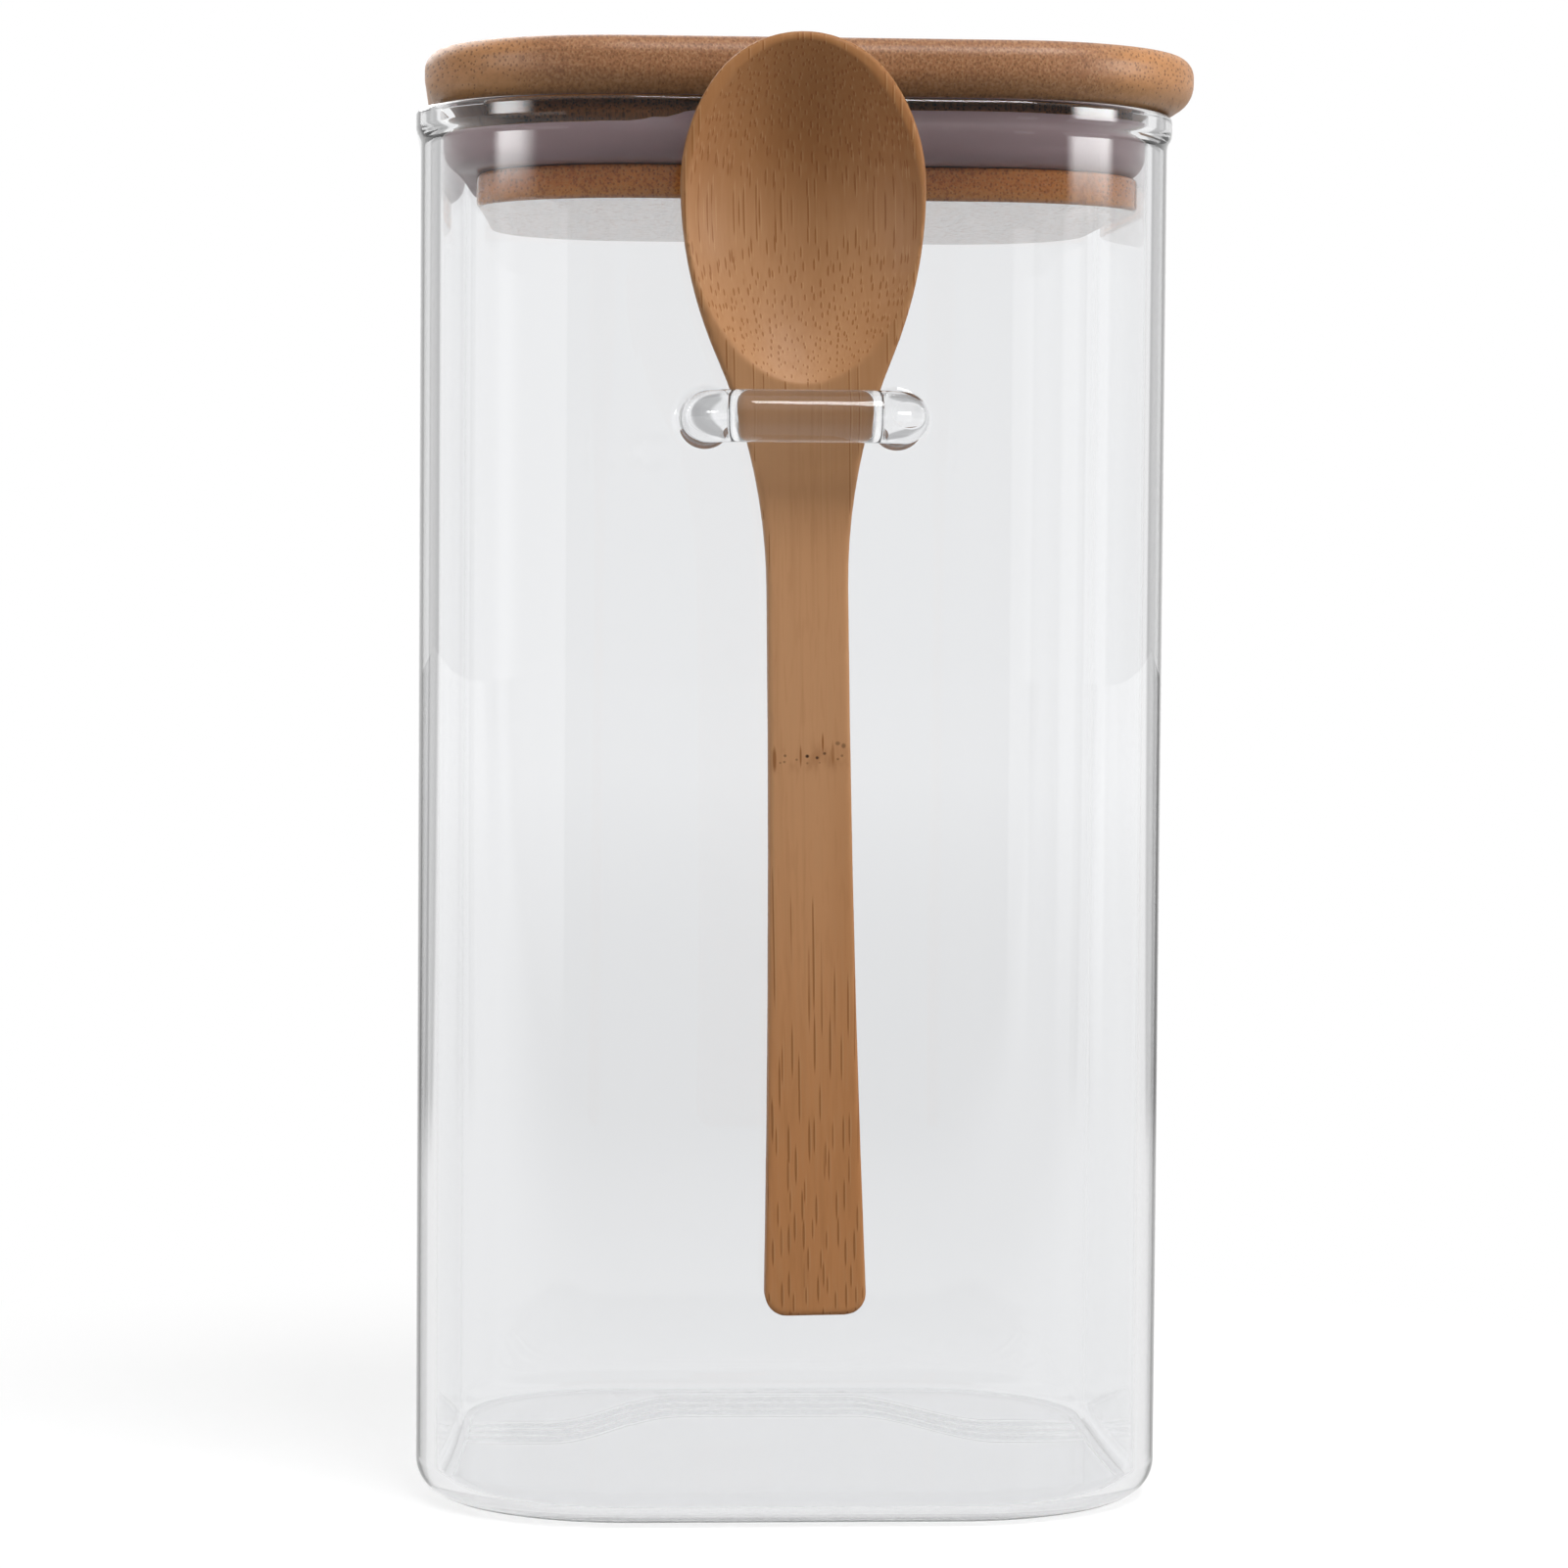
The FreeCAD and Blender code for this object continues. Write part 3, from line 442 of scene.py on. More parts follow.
def jointMarks(tree, look, u, v, w, wanderU, marked):
    # a joint of the culm: a stain, torn fibres and dark pores across the piece
    form = bambooForm
    fromKnot = minus(tree, w, look["knot"])
    close = reach(tree, calc(tree, "ABSOLUTE", plus(tree, fromKnot, form["stainAt"])), form["stainReach"], 0.0)
    patch = noise(tree, stretched(tree, u, v, w, *form["stainRates"]), 1.0)
    stain = times(tree, close, reach(tree, patch, *form["stain"]))
    marked = blend(tree, times(tree, stain, form["stainShare"]), marked, look["dotColour"])
    for marks, colour in ((look["tears"], look["dotColour"]), (look["pores"], look["poreColour"])):
        for atU, atW, wide, tall, strength in marks:
            inMark = oval(tree, minus(tree, wanderU, atU), minus(tree, fromKnot, atW), wide, tall)
            marked = blend(tree, reach(tree, inMark, *form["markEdge"], 0.0, strength), marked, colour)
    return marked


def bamboo(name, look):
    form = bambooForm
    material, tree, shader = newMaterial(name)
    place, u, v, w, wanderU, wanderV = fibrePlace(tree, look)
    dots, core, sheath = bundles(tree, look, v, w, wanderU, wanderV)
    streak = noise(tree, stretched(tree, wanderU, wanderV, w, *form["streakRates"]), *form["streakNoise"])
    grainRates = look["grainRate"], look["grainRate"] * look["grainRun"]
    grain = noise(tree, stretched(tree, u, v, w, *grainRates), 1.0, 1.0)
    ground, dotStrength = groundTissue(tree, look, u, v, w, streak, grain)
    marked = blend(tree, times(tree, sheath, look["sheathStrength"]), ground, look["sheathColour"])
    marked = blend(tree, times(tree, dots, dotStrength), marked, look["dotColour"])
    marked = blend(tree, times(tree, core, look["coreStrength"]), marked, look["coreColour"])
    if look["knot"]:
        marked = jointMarks(tree, look, u, v, w, wanderU, marked)
    feed(tree, marked, shader.inputs["Base Color"])

    smoothest, roughest = look["roughness"] - form["smoother"], look["roughness"] + form["rougher"]
    feed(tree, reach(tree, streak, *form["roughReach"], smoothest, roughest), shader.inputs["Roughness"])
    shader.inputs["IOR"].default_value = form["ior"]
    shader.inputs["Specular IOR Level"].default_value = look["specular"]
    shader.inputs["Coat Weight"].default_value = look["lacquer"]
    shader.inputs["Coat Roughness"].default_value = look["lacquerRough"]
    shader.inputs["Coat IOR"].default_value = form["ior"]
    raised = plus(tree, times(tree, streak, form["streakRelief"]), times(tree, grain, look["grainRelief"]))
    height = minus(tree, raised, times(tree, dots, form["dotRelief"]))
    pits = reach(tree, noise(tree, place, look["pitRate"], 1.0), *form["pitReach"], 0.0, look["pits"])
    relief(tree, shader, minus(tree, height, pits), look["bump"], form["reliefDepth"])
    relief(tree, shader, minus(tree, 1.0, pits), look["coatBump"], form["reliefDepth"], "Coat Normal")
    return material


# Jar: walls, floor and rim bead in one glass shell
jarShape = {
    "half": 47.5, "corner": 27.0, "height": 176.1, "wall": 2.4, "floor": 1.8,
    "baseEdge": 4.3, "floorEdge": 2.6, "beadStart": 172.3, "beadFull": 173.4, "beadHalf": 48.1,
    "rimEdge": 0.8, "beadEdge": 0.5, "cornerSteps": 40, "edgeSteps": 10, "rimSteps": 6, "beadSteps": 4,
}
# waves in the glass floor: where their line runs at the sides, how much further back in the middle, and their size
floorWaves = {
    "from": 10.0, "back": 20.0, "bendOver": (30.0, 12.0), "half": 9.0, "full": 5.5, "pitch": 5.0, "depth": 0.17,
    "rowStep": 0.5, "columnStep": 1.6, "nearRow": 0.05, "cutGap": 0.0001,
    # the waves die away at the sides in these steps
    "reach": (40.1, 38.5, 36.9, 35.3),
}


def smoothStep(value, low, high):
    part = min(max((value - low) / (high - low), 0.0), 1.0)
    return part * part * (3 - 2 * part)


def makeWaves(wave, floor):
    # cuts the flat floor into a grid, bends its rows to the line of the waves and lifts or lowers them
    rowCount = round(2 * wave["half"] / wave["rowStep"])
    rows = [wave["from"] - wave["half"] + wave["rowStep"] * number for number in range(rowCount + 1)]
    columnCount = int(wave["reach"][0] / wave["columnStep"])
    columns = [wave["columnStep"] * number for number in range(-columnCount, columnCount + 1)]

    def cutFloor(place, normal):
        pickFlats(floor)
        bpy.ops.mesh.bisect(plane_co=Vector(place) * mm, plane_no=normal, threshold=wave["cutGap"] * mm)

    def bendAt(x):
        return wave["back"] * smoothStep(abs(x), *wave["bendOver"])

    for x in columns:
        cutFloor((x, 0, 0), (1, 0, 0))
    for y in rows:
        cutFloor((0, y, 0), (0, 1, 0))
    for x in columns:
        pickVerts(lambda place: abs(place.x - x) < near and abs(place.z - floor) < near
                  and rows[0] - near < place.y < rows[-1] + near)
        slide(0, bendAt(x), 0)
    for y in rows:
        off = y - wave["from"]
        height = wave["depth"] * math.sin(2 * math.pi * off / wave["pitch"])
        height *= smoothStep(abs(off), wave["half"], wave["full"])
        for side in wave["reach"]:
            pickVerts(lambda place: abs(place.x) < side and abs(place.z - floor) < 3 * wave["depth"]
                      and abs(place.y - bendAt(place.x) - y) < wave["nearRow"])
            slide(0, 0, height / len(wave["reach"]))


def makeJar(shape):
    jar = roundedSquare("jarGlass", shape["half"], shape["corner"], (0, 0, 0), shape["cornerSteps"])
    lift(shape["beadStart"])
    lift(shape["beadFull"] - shape["beadStart"])
    grow(shape["beadHalf"] / shape["half"], (0, 0, shape["beadFull"]))
    lift(shape["height"] - shape["beadFull"])
    bpy.ops.mesh.inset(thickness=(shape["beadHalf"] - shape["half"] + shape["wall"]) * mm, use_even_offset=True)
    lift(shape["floor"] - shape["height"])
    pickCrease(0.0)
    roundEdges(shape["baseEdge"], shape["edgeSteps"])
    pickCrease(shape["floor"])
    roundEdges(shape["floorEdge"], shape["edgeSteps"])
    makeWaves(floorWaves, shape["floor"])
    pickCrease(shape["height"])
    roundEdges(shape["rimEdge"], shape["rimSteps"])
    for height in (shape["beadFull"], shape["beadStart"]):
        pickCrease(height)
        roundEdges(shape["beadEdge"], shape["beadSteps"])
    closeMesh()
    return jar


# Loop: a glass rod bent twice and welded to the front wall by its feet
loopShape = {
    "middle": -0.65, "height": 136.7, "wallFace": -47.5, "sunk": 1.2, "leg": 11.749, "bar": -62.35,
    "bend": 5.15, "rodSteps": 40, "bendSteps": 16,
    # each foot: how far out from the wall, and the rod's radius there
    "foot": ((-0.03, 4.75), (0.06, 4.25), (0.18, 3.86), (0.4, 3.55), (0.75, 3.33), (1.2, 3.21), (1.8, 3.15)),
}


def makeLoop(shape):
    middle, height, leg, bend = shape["middle"], shape["height"], shape["leg"], shape["bend"]
    start = shape["wallFace"] + shape["sunk"]
    firstRadius = shape["foot"][0][1]
    clearSelection()
    bpy.ops.mesh.primitive_circle_add(vertices=shape["rodSteps"], radius=firstRadius * mm, fill_type="NOTHING",
                                      location=((middle + leg) * mm, start * mm, height * mm),
                                      rotation=(math.radians(90), 0, 0))
    loop = bpy.context.object
    loop.name = loop.data.name = "loopRod"
    bpy.ops.object.transform_apply(location=True, rotation=True, scale=True)
    bpy.ops.object.mode_set(mode="EDIT")
    bpy.ops.mesh.select_mode(type="EDGE")
    bpy.ops.mesh.select_all(action="SELECT")

    def stretch(x, y):
        bpy.ops.mesh.extrude_edges_move(TRANSFORM_OT_translate={"value": (x * mm, y * mm, 0)})

    def ringSize(ratio, x, y):
        bpy.ops.transform.resize(value=(ratio, 1, ratio), center_override=Vector((x, y, height)) * mm)

    # right foot, out from the wall
    at, radius = start, firstRadius
    for out, ring in shape["foot"]:
        stretch(0, shape["wallFace"] - out - at)
        at = shape["wallFace"] - out
        ringSize(ring / radius, middle + leg, at)
        radius = ring
    stretch(0, shape["bar"] + bend - at)
    bpy.ops.mesh.spin(steps=shape["bendSteps"], angle=math.radians(90), axis=(0, 0, 1),
                      center=Vector((middle + leg - bend, shape["bar"] + bend, height)) * mm)
    stretch(-2 * (leg - bend), 0)
    bpy.ops.mesh.spin(steps=shape["bendSteps"], angle=math.radians(90), axis=(0, 0, 1),
                      center=Vector((middle - leg + bend, shape["bar"] + bend, height)) * mm)
    # left foot, back to the wall
    at = shape["bar"] + bend
    for out, ring in reversed(shape["foot"]):
        stretch(0, shape["wallFace"] - out - at)
        at = shape["wallFace"] - out
        ringSize(ring / radius, middle - leg, at)
        radius = ring
    stretch(0, shape["sunk"])
    mergeDoubles()
    pickEdges(lambda edge: edge.is_boundary)
    bpy.ops.mesh.fill()
    closeMesh()
    return loop


jar = makeJar(jarShape)
loop = makeLoop(loopShape)
applyModifier(jar, "BOOLEAN", operation="UNION", object=loop, solver="EXACT")
bpy.data.objects.remove(loop)
smoothFlats(jar)
finishPiece(jar, "jar", ("jar_body", "spoon_loop"), clearGlass("clearGlass", glassLook))


# Lid: bamboo board with a bullnose edge
capShape = {
    "half": 48.7, "corner": 25.0, "middle": 1.7, "bottom": 176.2, "top": 183.3,
    "bottomEdge": 3.7, "topEdge": 2.5, "cornerSteps": 32, "edgeSteps": 10,
}
capLook = {
    "across": (1, 0, 0), "through": (0, 0, 1), "fibre": (0, 1, 0), "middle": 1.7,
    "wander": 0.5, "wanderRate": 0.02, "bendAt": 0.0, "bend": 0.0,
    "pitchWide": 0.68, "pitchDeep": 0.56, "halfWide": 0.125, "halfDeep": 0.15, "jitter": 0.9,
    "shown": (0.15, 0.4), "denseReach": (177.0, 181.0), "dense": (0.3, 1.2),
    "light": (0.365, 0.17, 0.078), "mid": (0.295, 0.13, 0.059), "dark": (0.135, 0.058, 0.027),
    "paintedLightAndShade": (), "sparse": None,
    "lath": 19.0, "lathStart": 0.0, "lathTone": (0.31, 0.132, 0.048),
    # the outer laths are lighter and more orange: partly their own tone, partly painted light from the side lamps
    "outerFrom": (31.0, 41.0), "outerToneAndSideLight": (0.52, 0.245, 0.095),
    # tones through the board: from this height to that, colour and strength
    "toneAndLightBands": ((179.5, 177.0, (0.36, 0.18, 0.062), 0.6),),
    "streakStrength": 0.3,
    "grainRate": 2.6, "grainRun": 0.03, "grainStrength": 0.45, "grainColour": (0.46, 0.26, 0.135),
    "dotStrength": 0.7, "dotColour": (0.15, 0.06, 0.022), "coreStrength": 0.15, "coreColour": (0.3, 0.15, 0.06),
    "sheathStrength": 0.3, "sheathColour": (0.45, 0.25, 0.11), "knot": None,
    "roughness": 0.5, "specular": 0.25, "bump": 0.25, "grainRelief": 0.5, "pitRate": 1.4, "pits": 0.3,
    "lacquer": 0.3, "lacquerRough": 0.38, "coatBump": 0.2,
}


def makeCap(shape):
    cap = roundedSquare("lidCap", shape["half"], shape["corner"], (shape["middle"], 0, shape["bottom"]),
                        shape["cornerSteps"])
    lift(shape["top"] - shape["bottom"])
    pickCrease(shape["bottom"])
    roundEdges(shape["bottomEdge"], shape["edgeSteps"])
    pickCrease(shape["top"])
    roundEdges(shape["topEdge"], shape["edgeSteps"])
    closeMesh()
    smoothFlats(cap)
    return cap


cap = makeCap(capShape)
finishPiece(cap, "lid", ("lid_cap",), bamboo("capBamboo", capLook))


# Plug: bamboo disc with a neck that the seal sits on
plugShape = {
    "half": 42.15, "corner": 21.65, "middle": 1.7,
    "bottom": 163.8, "shoulder": 168.0, "collar": 171.15, "top": 176.18,
    "groove": 3.0, "collarOut": 2.05, "edge": 0.6, "cornerSteps": 32, "edgeSteps": 4,
}
plugLook = dict(
    capLook, light=(0.6, 0.21, 0.053), mid=(0.486, 0.16, 0.042), dark=(0.2, 0.065, 0.021),
    # the outer laths are lighter and more orange: partly their own tone, partly painted light from the side lamps
    lathStart=7.0, lathTone=(0.6, 0.23, 0.058), outerToneAndSideLight=(0.57, 0.21, 0.06),
    # bands through the plug: the lower edge more orange, and from 169 to 171 mm up onto the collar painted light,
    # a brighter orange where the collar lies in shade in the slot under the seal
    toneAndLightBands=((166.0, 164.2, (0.52, 0.23, 0.07), 0.6), (169.0, 171.0, (0.85, 0.36, 0.12), 0.9)),
    denseReach=(163.0, 168.5), dense=(0.5, 0.9), grainRate=2.2, grainColour=(0.52, 0.23, 0.08),
    pitRate=1.5, pits=1.0, specular=0.0, lacquer=1.0, lacquerRough=0.06, coatBump=0.45,
)


def makePlug(shape):
    plug = roundedSquare("lidPlug", shape["half"], shape["corner"], (shape["middle"], 0, shape["bottom"]),
                         shape["cornerSteps"])
    lift(shape["shoulder"] - shape["bottom"])
    bpy.ops.mesh.inset(thickness=shape["groove"] * mm, use_even_offset=True)
    lift(shape["collar"] - shape["shoulder"])
    bpy.ops.mesh.extrude_region_move()
    neckHalf = shape["half"] - shape["groove"]
    grow((neckHalf + shape["collarOut"]) / neckHalf, (shape["middle"], 0, shape["collar"]))
    lift(shape["top"] - shape["collar"])
    pickCrease(shape["bottom"])
    roundEdges(shape["edge"], shape["edgeSteps"])
    pickEdges(lambda edge: atHeight(edge, shape["shoulder"]) and isCrease(edge) and edge.is_convex)
    roundEdges(shape["edge"], shape["edgeSteps"])
    closeMesh()
    smoothFlats(plug)
    return plug


plug = makePlug(plugShape)
finishPiece(plug, "lid", ("lid_plug",), bamboo("plugBamboo", plugLook))


# Seal: soft ring round the neck, with a lip that stands up along the glass
sealShape = {
    "half": 44.8, "corner": 24.3, "bottom": 168.05, "top": 174.6, "lip": 1.4, "lipEdge": 2.65, "web": 169.8,
    "shift": 1.7, "bandHalf": 40.8, "bandTop": 171.0, "band": 1.6,
    "cornerSteps": 32, "edgeSteps": 8, "longSide": 10.0, "sideCuts": 24, "outlineGap": 0.05,
    # the lip stands lower towards the left corner: left of each place, by how much more
    "dipAbove": 0.5,
    "dip": ((-11.0, 0.1), (-13.0, 0.2), (-15.0, 0.25), (-17.0, 0.25), (-19.0, 0.2), (-21.5, 0.15), (-26.0, 0.1)),
}


def makeSeal(shape):
    seal = roundedSquare("sealRing", shape["half"], shape["corner"], (0, 0, shape["bottom"]), shape["cornerSteps"])
    lift(shape["top"] - shape["bottom"])
    bpy.ops.mesh.inset(thickness=shape["lip"] * mm, use_even_offset=True)
    lift(shape["web"] - shape["top"])
    # the inner band follows the neck, which stands a little to one side
    bpy.ops.mesh.inset(thickness=(shape["half"] - shape["lip"] - shape["bandHalf"]) * mm, use_even_offset=True)
    slide(shape["shift"], 0, 0)
    lift(shape["bandTop"] - shape["web"])
    bpy.ops.mesh.inset(thickness=shape["band"] * mm, use_even_offset=True)
    bpy.ops.mesh.delete(type="ONLY_FACE")
    pickFlats(shape["bottom"])
    bpy.ops.mesh.inset(thickness=(shape["half"] - shape["bandHalf"] + shape["band"]) * mm, use_even_offset=True)
    slide(shape["shift"], 0, 0)
    bpy.ops.mesh.delete(type="ONLY_FACE")
    pickEdges(lambda edge: edge.is_boundary)
    bpy.ops.mesh.bridge_edge_loops()
    pickEdges(lambda edge: edge.calc_length() / mm > shape["longSide"])
    bpy.ops.mesh.subdivide(number_cuts=shape["sideCuts"])
    for limit, drop in shape["dip"]:
        pickVerts(lambda place: place.z > shape["bandTop"] + shape["dipAbove"] and place.x < limit)
        slide(0, 0, -drop)

    def onOutline(place):
        x, y = abs(place.x / mm), abs(place.y / mm)
        fromCorner = math.hypot(x - shape["half"] + shape["corner"], y - shape["half"] + shape["corner"])
        return max(x, y) > shape["half"] - near or fromCorner > shape["corner"] - shape["outlineGap"]

    pickEdges(lambda edge: isCrease(edge) and edge.is_convex and atHeight(edge, shape["bottom"])
              and all(onOutline(vert.co) for vert in edge.verts))
    roundEdges(shape["lipEdge"], shape["edgeSteps"])
    closeMesh()
    smoothFlats(seal)
    return seal


seal = makeSeal(sealShape)
finishPiece(seal, "lid", ("seal_ring",), softSilicone("softSilicone", siliconeLook))


# Spoon: the carved form of the CAD solid with its edges sanded soft
spoonShape = {"weldGap": 0.005, "grid": 0.3, "sanding": 2, "sandingShare": 0.5}
spoonLook = {
    "across": (1, 0, 0.0206), "through": (0, 1, 0.0384), "fibre": (-0.0206, -0.0384, 0.999),
    "wander": 0.9, "wanderRate": 0.016, "bendAt": 82.0, "bend": 0.0008,
    "pitchWide": 0.9, "pitchDeep": 0.42, "halfWide": 0.12, "halfDeep": 0.11, "jitter": 0.95,
    "shown": (0.3, 0.6), "denseReach": (-90.0, -80.0), "dense": (1.0, 1.1),
    "light": (0.483, 0.259, 0.127), "mid": (0.431, 0.222, 0.102), "dark": (0.30, 0.135, 0.05),
    # painted light and shade along the spoon: from this height to that, and what it is multiplied by; lighter
    # below 126 mm, darker and more orange towards the lower end of the handle, and darker towards the top of the
    # bowl
    "paintedLightAndShade": ((138.0, 126.0, (1.06, 1.04, 1.03)), (110.0, 40.0, (0.96, 0.83, 0.67)),
              (132.0, 150.0, (0.87, 0.833, 0.78)), (160.0, 172.0, (0.86, 0.76, 0.63))),
    # few bundles show between these heights
    "sparse": (70.0, 84.0, 138.0, 150.0, 0.6), "lath": None,
    "streakStrength": 0.22,
    "grainRate": 1.8, "grainRun": 0.1, "grainStrength": 0.12, "grainColour": (0.45, 0.25, 0.12),
    "dotStrength": 0.75, "dotColour": (0.23, 0.085, 0.025), "coreStrength": 0.4, "coreColour": (0.36, 0.17, 0.065),
    "sheathStrength": 0.4, "sheathColour": (0.5, 0.29, 0.14),
    # the joint's height, then its marks: across, along, half width, half length and strength
    "knot": 98.0, "poreColour": (0.05, 0.022, 0.012),
    "pores": ((1.9, 0.0, 0.24, 0.22, 1.0), (3.1, -0.2, 0.21, 0.2, 0.9), (4.0, 0.3, 0.21, 0.18, 0.75),
              (-0.8, 0.1, 0.19, 0.18, 0.6), (-0.9, -0.65, 0.17, 0.16, 0.5), (-1.4, -0.75, 0.15, 0.15, 0.4),
              (0.6, -0.4, 0.16, 0.15, 0.45), (1.9, -0.85, 0.15, 0.14, 0.4), (3.4, -0.8, 0.14, 0.13, 0.35),
              (6.1, 0.0, 0.18, 0.17, 0.5), (5.6, -0.4, 0.17, 0.16, 0.5), (5.6, 1.5, 0.3, 0.25, 0.5),
              (6.3, 1.2, 0.28, 0.32, 0.55)),
    "tears": ((3.8, 1.6, 0.12, 1.2, 0.9), (1.1, 0.0, 0.13, 1.3, 0.8), (-2.1, -0.3, 0.24, 1.5, 0.8),
              (5.0, 0.3, 0.2, 1.4, 0.5)),
    "roughness": 0.55, "specular": 0.15, "bump": 0.12, "grainRelief": 0.15, "pitRate": 1.4, "pits": 0.0,
    "lacquer": 0.08, "lacquerRough": 0.35, "coatBump": 0.1,
}


def makeSpoon(shape):
    spoon = bpy.data.objects.new("carvedSpoon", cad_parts["spoon"].data.copy())
    bpy.context.scene.collection.objects.link(spoon)
    spoon.data.name = "carvedSpoon"
    makeActive(spoon)
    bpy.ops.object.mode_set(mode="EDIT")
    bpy.ops.mesh.select_mode(type="VERT")
    bpy.ops.mesh.select_all(action="SELECT")
    bpy.ops.mesh.remove_doubles(threshold=shape["weldGap"] * mm)
    bpy.ops.object.mode_set(mode="OBJECT")
    applyModifier(spoon, "REMESH", mode="VOXEL", voxel_size=shape["grid"] * mm)
    applyModifier(spoon, "SMOOTH", factor=shape["sandingShare"], iterations=shape["sanding"])
    makeActive(spoon)
    bpy.ops.object.shade_smooth()
    return spoon


spoon = makeSpoon(spoonShape)
finishPiece(spoon, "spoon", ("spoon",), bamboo("spoonBamboo", spoonLook))


# Studio: a white ground behind, tall softboxes at the sides and soft lights above and behind
studio = {
    # brightness of what is behind, in front and above
    "ambient": 0.15, "behind": 0.97, "front": 0.15, "dimFront": 0.25, "above": 0.9,
    # dim gaps beside the white ground, with the angles off it in degrees
    "gap": 0.5, "gapFrom": 23.0, "gapTo": 40.0, "gapSoft": 3.0,
    # light that falls through the glass on what is inside: by depth, then more from both sides
    "inside": (0.68, 1.1), "insideRight": (1.1, 2.2), "insideLeft": (1.1, 2.2),
    # directions between which these change
    "insideReach": (-0.3, 0.5), "rightReach": (-0.2, 0.8), "leftReach": (-0.2, -0.8),
    "frontReach": (0.0, -0.4), "mirrorBehind": (0.3, 0.9), "mirrorAbove": (0.25, 0.6),
    # counts of bounces: more than none, and fewer than through both walls of the jar
    "bounced": 0.5, "oneWall": 3.5,
    # each lamp: its two lower corners, its height, how it dies away below and at both sides, and its power
    "lamps": (
        {"name": "rightHigh", "from": (0.364, -0.270), "to": (0.436, -0.033), "low": 0.185, "high": 0.265,
         "fade": 0.03, "soft": (0.25, 0.25), "power": 1.25},
        {"name": "rightLow", "from": (0.355, -0.280), "to": (0.436, -0.045), "low": 0.0, "high": 0.19,
         "fade": 0.06, "soft": (0.1, 0.1), "power": 0.17},
        {"name": "rightFaint", "from": (0.219, -0.451), "to": (0.313, -0.395), "low": 0.0, "high": 0.19,
         "fade": 0.06, "soft": (0.15, 0.15), "power": 0.07},
        {"name": "leftHigh", "from": (-0.434, -0.082), "to": (-0.345, -0.282), "low": 0.19, "high": 0.26,
         "fade": 0.015, "soft": (0.3, 0.5), "power": 0.7},
        {"name": "leftLow", "from": (-0.434, -0.082), "to": (-0.265, -0.368), "low": 0.0, "high": 0.19,
         "fade": 0.06, "soft": (0.3, 0.03), "power": 0.22},
    ),
    "top": {"place": (0.24, -0.50, 0.87), "aim": (0, -0.06, 0.13), "size": (0.45, 0.35), "power": 6.8},
    "back": {"place": (-0.25, 0.72, 0.55), "aim": (0, 0, 0.13), "size": (0.6, 0.5), "power": 3.0},
}


def studioGap(tree, x, y, look):
    # 1 in the dim gaps beside the white ground, by the angle off it in degrees
    turn = times(tree, calc(tree, "ARCTAN2", calc(tree, "ABSOLUTE", x), y), 180 / math.pi)
    start, end, soft = look["gapFrom"], look["gapTo"], look["gapSoft"]
    return times(tree, reach(tree, turn, start - soft, start + soft), reach(tree, turn, end + soft, end - soft))


def edgeRays(tree, rays, look):
    # 1 for light that the glass has mirrored, and 1 for light bent along an edge or mirrored
    turnedBack = calc(tree, "GREATER_THAN", rays.outputs["Glossy Depth"], look["bounced"])
    oneWall = calc(tree, "LESS_THAN", rays.outputs["Transmission Depth"], look["oneWall"])
    return turnedBack, calc(tree, "MAXIMUM", turnedBack, oneWall)


def choose(tree, test, value, other):
    # the value where the test is 1, the other where it is 0
    node = tree.nodes.new("ShaderNodeMix")
    feed(tree, test, node.inputs[0])
    feed(tree, other, node.inputs[2])
    feed(tree, value, node.inputs[3])
    return node.outputs[0]


# Floor: pale near the jar, where it takes the shadow, and white further out
floorLook = {
    "size": 8.0, "height": -0.0002, "pale": (0.3, 0.3, 0.3), "roughness": 0.9, "glow": 0.74, "inGlass": 0.88,
    "shadowReach": (0.07, 0.18), "fadeReach": (0.3, 2.2), "dimReach": (0.3, 0.5), "frontReach": (-0.1, -0.33),
}


def floorLevel(tree, look, x, y, outward, rays):
    # how bright the floor is in the glass: dim beside the white ground and, for mirrored light, in front
    turnedBack, alongEdge = edgeRays(tree, rays, studio)
    beyond = reach(tree, outward, *look["dimReach"])
    dim = times(tree, studioGap(tree, x, y, studio), times(tree, beyond, alongEdge))
    ground = reach(tree, outward, *look["fadeReach"], look["inGlass"], studio["behind"])
    level = choose(tree, dim, studio["gap"], ground)
    inFront = times(tree, reach(tree, y, *look["frontReach"]), turnedBack)
    return choose(tree, inFront, studio["dimFront"], level)


